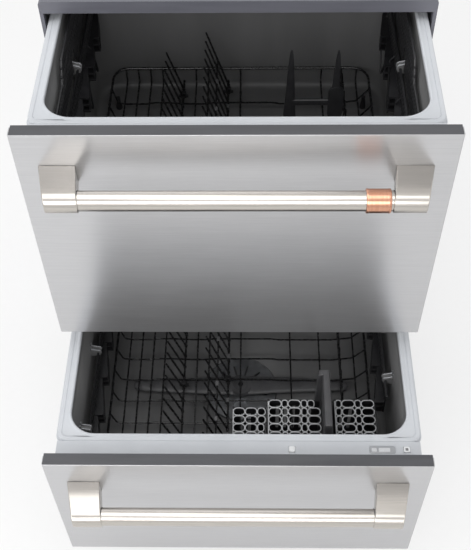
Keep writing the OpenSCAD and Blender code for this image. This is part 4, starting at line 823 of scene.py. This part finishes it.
def wash_system(d):
    """The spray arm with its jets, and the motor under the sump with its shaft and outlet."""
    floor = -TUB_DEPTH[d]
    low, high = floor + 6, floor + 15
    arm, rings = own(d), []
    half_shares = (0.1, 0.2, 0.4, 0.6, 0.8, 0.95, 0.985, 1)
    for share in [-s for s in half_shares[::-1]] + list(half_shares):
        a = abs(share)
        half, rise = 21.5 - 9.7 * a, 4.5
        if a > 0.97:
            half, rise = (half - 3, 3.4) if a < 1 else (half - 8, 1.8)
        mid = OPEN_MID + 1.2 * sin(share * math.pi)
        rings.append([(ARM_REACH * share, mid + half * cos(t),
                       (low + high) / 2 + rise * sin(t)
                       * (0.55 + 0.45 * min(1, abs(sin(t)) * 2))) for t in around(20)])
    arm.loft(rings)
    arm.turned([(ARM_HUB_R, low), (ARM_HUB_R, high - 3), (21, high), (14, high + 0.6), (13, high + 1.6),
                (8, high + 1.9), (5.3, high + 1.9), (5.3, low)], (0, OPEN_MID, 0), "z", 40)
    for k in range(JETS):
        for side in (-1, 1):
            y = OPEN_MID + (5 if k % 2 else -5) * side * (1 - 0.05 * k)
            arm.turned([(4.2, high - 1.6), (3.8, high - 0.1), (2.4, high + 0.3), (1.5, high - 0.4)],
                       (side * (JET_FROM + JET_PITCH * k), y, 0), "z", 14)
    arm.piece("spray_moulding", "spray_arm", TUB_LIGHT, ["spray_arm"], sharp=40)
    top = floor - SUMP_DEPTH - TUB_WALL
    foot = top - MOTOR_H
    motor = own(d)
    profile = [(MOTOR_R - 1, top - 0.2), (MOTOR_R, top - 1), (MOTOR_R, top - 5)]
    for z in (top - 5 - 4 * k for k in range(MOTOR_RIBS)):
        profile += [(MOTOR_R, z), (MOTOR_R - 3, z - 0.6), (MOTOR_R - 3, z - 2.6), (MOTOR_R, z - 3.2)]
    profile += [(MOTOR_R, foot + 4), (MOTOR_R - 4, foot + 0.6), (30, foot), (18, foot), (14, foot + 2)]
    motor.turned(profile, (0, OPEN_MID, 0), "z", 64)
    motor.turned([(10, 32), (10, 78), (11, 79), (11, 82), (10, 83), (10, 88), (11, 89.2), (10.4, 90)],
                 (PORT_X, OPEN_MID, top - MOTOR_H / 2), "y", 28)
    motor.turned([(4.95, top - 1), (4.95, floor + 15.4), (4, floor + 16.8)], (0, OPEN_MID, 0), "z", 24)
    motor.piece("motor_shell", "drawer", BLACK, ["wash_motor"], sharp=40)


# --- body


def body():
    """The sheet steel wrap and the back, with shallow pressed panels, and their screws."""
    lo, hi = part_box("chassis_wrap")
    half, top, low = hi.x / MM - 0.15, hi.z / MM, lo.z / MM
    front, back = lo.y / MM, hi.y / MM

    def section(depth, y):
        """An upside down U, outside and then inside; depth is how far the panels sink."""
        side = [(low, 0), (120, 0), (128, depth), (372, depth), (380, 0), (470, 0), (478, depth),
                (790, depth), (798, 0)]
        outer = [(-half + sink, z) for z, sink in side]
        outer += [(-half + WRAP_R - WRAP_R * cos(a), top - WRAP_R + WRAP_R * sin(a))
                  for a in angles(0, 90, 4)]
        outer += [(x, top - sink * 0.5) for x, sink in
                  ((-250, 0), (-242, depth), (-20, depth), (-12, 0), (0, 0))]
        outer += [(-x, z) for x, z in outer[-2::-1]]
        inner = []
        for k, (x, z) in enumerate(outer):
            before, after = Vector(outer[max(k - 1, 0)]), Vector(outer[min(k + 1, len(outer) - 1)])
            along = (after - before).normalized()
            inner.append((x + SHEET_T * along.y, z - SHEET_T * along.x))
        return [(x, y, z) for x, z in outer + inner[::-1]]
    places = [(front, 0), (front + 70, 0), (front + 78, SIDE_SINK), (back - 68, SIDE_SINK),
              (back - 60, 0), (back, 0)]
    wrap = Form().loft([section(depth, y) for y, depth in places])
    wrap.piece("body_wrap", "cabinet", ZINC, ["chassis_wrap"], sharp=25)
    screws = Form()
    for side in (-1, 1):
        x = side * half
        ends = sorted((x - side * 1.0, x + side * 0.14))
        for z in (60, 250, 430, 620, 800):
            screws.turned([(3.6, ends[0]), (3.6, ends[1] - 0.05), (3.0, ends[1])], (0, back - 22, z),
                          "x", 18)
    screws.piece("body_screws", "cabinet", RAIL, sharp=40)
    lo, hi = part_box("back_panel")
    left, y, z_low, z_high = lo.x / MM, hi.y / MM, lo.z / MM, hi.z / MM

    def across(depth, x):
        levels = [(z_low, 0), (z_low + 40, 0), (z_low + 50, depth), (430, depth), (440, 0), (470, 0),
                  (480, depth), (z_high - 50, depth), (z_high - 40, 0), (z_high - 1, 0)]
        outer = [(x, y - sink, z) for z, sink in levels]
        return outer + [(x, y - SHEET_T - sink, z) for z, sink in levels[::-1]]
    places = [(left, 0), (left + 40, 0), (left + 50, BACK_SINK), (-30, BACK_SINK), (-20, 0)]
    places += [(-x, depth) for x, depth in places[::-1]]
    plate = Form().loft([across(depth, x) for x, depth in places])
    plate.piece("body_back", "cabinet", ZINC, ["back_panel"], sharp=25)
    bolts = Form()
    for x in (left + 14, left / 2, 0, -left / 2, -left - 14):
        for z in (z_low + 14, z_high - 14):
            bolts.turned([(4.6, y - 1.2), (4.6, y - 0.5), (3.8, y - 0.05)], (x, 0, z), "y", 6)
    bolts.piece("back_screws", "cabinet", RAIL, sharp=40)


def feet():
    """Four pads with a nut and a threaded stud each."""
    lo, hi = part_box("levelling_feet")
    form, threads = Form(), Form()
    profile = [(5, STUD_LOW)]
    for z in (STUD_LOW + STUD_PITCH * k for k in range(STUD_TURNS)):
        profile += [(STUD_R, z + 0.3), (STUD_R - 0.7, z + 1.0), (STUD_R, z + 1.7)]
    profile += [(4, STUD_LOW + 52)]
    for x in (lo.x / MM + FOOT_R, hi.x / MM - FOOT_R):
        for y in (lo.y / MM + FOOT_R, hi.y / MM - FOOT_R):
            form.turned([(15, 0), (18.2, 0.02), (FOOT_R, 1.2), (18.6, 3), (16, 5.4), (11, 7), (9, 8)],
                        (x, y, 0), "z", 40)
            form.turned([(8.4, 7.5), (8.4, 15)], (x, y, 0), "z", 6)
            threads.turned(profile, (x, y, 0), "z", 20)
    form.piece("foot_pads", "feet", RAIL, ["levelling_feet"], sharp=30)
    threads.piece("foot_studs", "feet", RAIL, sharp=20)


def connections():
    """The water inlet's thread, the barbed drain spigot and the lead's gland, on one back wall."""
    lo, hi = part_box("rear_connections")
    start, z = lo.y / MM, (lo.z + hi.z) / 2 / MM
    end = start + INLET_L
    profile = [(8.2, start), (16.2, start), (16.2, start + 4), (15.4, start + 5), (12, start + 5)]
    for y in (start + 5.4 + 1.8 * k for k in range(6)):
        profile += [(12.0, y), (13.15, y + 0.8), (12.0, y + 1.6)]
    profile += [(12, end - 0.6), (11.4, end), (8.4, end), (8.2, end - 1), (8.2, start + 0.01)]
    inlet = Form().turned(profile, (INLET_X, 0, z), "y", 36)
    inlet.piece("inlet_thread", "cabinet", PALE, ["rear_connections"], sharp=20)
    end = start + DRAIN_L
    profile = [(7.5, start), (13.5, start), (13.5, start + 3.4), (12.8, start + 4), (8.8, start + 4)]
    for y in (start + 6 + 5.4 * k for k in range(4)):
        profile += [(8.3, y), (9.45, y + 0.6), (8.3, y + 4.6)]
    profile += [(8.3, end - 0.6), (7.8, end), (7.5, end - 0.4), (7.5, start + 0.01)]
    spigot = Form().turned(profile, (DRAIN_X, 0, z), "y", 36)
    spigot.piece("drain_barbs", "cabinet", PALE, ["rear_connections"], sharp=25)
    end = start + GLAND_L
    nut = Form()
    nut.turned([(4.1, start), (11, start), (11, start + 5), (10.2, start + 6), (8.6, start + 6.4),
                (8.6, end - 5), (9.4, end - 4), (8.4, end - 0.6), (7, end), (4.4, end), (4.1, end - 1),
                (4.1, start + 0.01)], (GLAND_X, 0, z), "y", 6)
    nut.piece("gland_nut", "cabinet", BLACK, ["rear_connections"], sharp=30, bevel=0.4)


SOFT_EDGES = {"front_trim": 0.8, "base_tray": 0.8, "cabinet_rails": 0.5, "lid_guides": 0.6}
SOFT_EDGES.update({name + "_basket": 0.4 for name in BASKETS})
for d in DRAWERS:
    for name, width in (("door_frame", 1.0), ("control_strip", 0.8), ("dispenser", 1.2),
                        ("dispenser_door", 0.7), ("drawer_rails", 0.4), ("mid_rails", 0.4),
                        ("filter", 0.5)):
        SOFT_EDGES[f"{d}_{name}"] = width
for node, width in SOFT_EDGES.items():
    soften(frame["nodes"][node], width)

for d in DRAWERS:
    for build in (front_panel, handle, controls, rim, tub, rack, tine_rows, cup_racks, tub_lid,
                  wash_system):
        build(d)
copper_ring()
side_ladders()
upper_fins()
baskets()
honeycomb_lid("left", (20.9, 20.9, 14.6), {(row, 2): 0.82 for row in range(3)})
honeycomb_lid("middle", (22.6, 11.0, 22.6, 11.0, 22.6), {(5, 4): 0.55})
honeycomb_lid("right", (11.0, 22.6, 11.0, 22.6), {})
body()
feet()
connections()

# --- floor, light and camera

# Share of plain white in the floor that the camera sees, and the world's light on the object
FLOOR_WHITE, WORLD_LEVEL = 0.65, 0.66
LAMP_AIM = Vector((0, 0, 0.5))


def studio():
    """A pale floor that keeps the shadow, four soft lamps, and a world that is white to the camera."""
    size = 6
    floor = bpy.data.meshes.new("floor")
    floor.from_pydata([(-size, -size, 0), (size, -size, 0), (size, size, 0), (-size, size, 0)],
                      [], [(0, 1, 2, 3)])
    item = show("floor", floor)
    pale = finish("floor", (0.86, 0.86, 0.86), (0.88, 0.88, 0.88), (0.7, 0.8))
    floor.materials.append(pale)
    # The camera sees the floor mixed with plain white, as in the photograph
    tree = pale.node_tree
    rays, glow, both, share = (add_node(tree, kind) for kind in
                               ("LightPath", "Emission", "MixShader", "Math"))
    share.operation = "MULTIPLY"
    share.inputs[1].default_value = FLOOR_WHITE
    join(tree, (rays, "Is Camera Ray", share, 0), (share, "Value", both, "Fac"),
         (tree.nodes["Principled BSDF"], "BSDF", both, 1), (glow, "Emission", both, 2),
         (both, "Shader", tree.nodes["Material Output"], "Surface"))
    for name, place, width, height, watts in (
            ("overhead", (-0.3, -0.3, 3.0), 2.4, 1.6, 22), ("front", (-0.4, -3.2, 2.4), 2.4, 1.6, 44),
            ("left", (-2.6, -1.6, 1.8), 1.2, 2.0, 20), ("right", (2.6, -1.6, 1.8), 1.2, 2.0, 8)):
        lamp = bpy.data.lights.new(name, "AREA")
        lamp.shape = "RECTANGLE"
        lamp.size, lamp.size_y, lamp.energy = width, height, watts
        item = show(name, lamp)
        item.location = place
        item.rotation_euler = (LAMP_AIM - Vector(place)).to_track_quat("-Z", "Y").to_euler()
    world = bpy.data.worlds.new("studio")
    world.use_nodes = True
    tree = world.node_tree
    back = tree.nodes["Background"]
    back.inputs["Color"].default_value = (1, 1, 1, 1)
    rays, seen = add_node(tree, "LightPath"), add_node(tree, "Math")
    seen.operation = "MAXIMUM"
    level = add_node(tree, "MapRange", To_Min=WORLD_LEVEL, To_Max=1.0)
    join(tree, (rays, "Is Camera Ray", seen, 0), (rays, "Is Glossy Ray", seen, 1),
         (seen, "Value", level, "Value"), (level, "Result", back, "Strength"))
    bpy.context.scene.world = world
    bpy.context.scene.view_settings.view_transform = "Standard"


def photo_camera():
    """The camera that the photograph's straight edges give."""
    focal_px, image_h, sensor_mm = 938.28, 550, 36
    pitch, yaw, roll = (radians(a) for a in (51.564, -1.687, -1.277))
    place = Vector((0.02297, -1.16388, 1.70440))
    ahead = Vector((sin(yaw) * cos(pitch), cos(yaw) * cos(pitch),
                    -sin(pitch)))
    level = Vector((cos(yaw), -sin(yaw), 0))
    upright = level.cross(ahead)
    right = cos(roll) * level + sin(roll) * upright
    up = -sin(roll) * level + cos(roll) * upright
    camera = bpy.data.cameras.new("photo_camera")
    camera.sensor_fit = "VERTICAL"
    camera.sensor_height = sensor_mm
    camera.lens = focal_px / image_h * sensor_mm
    item = show("photo_camera", camera)
    turn = Matrix((right, up, -ahead)).transposed()
    item.matrix_world = Matrix.Translation(place) @ turn.to_4x4()
    bpy.context.scene.camera = item


studio()
photo_camera()
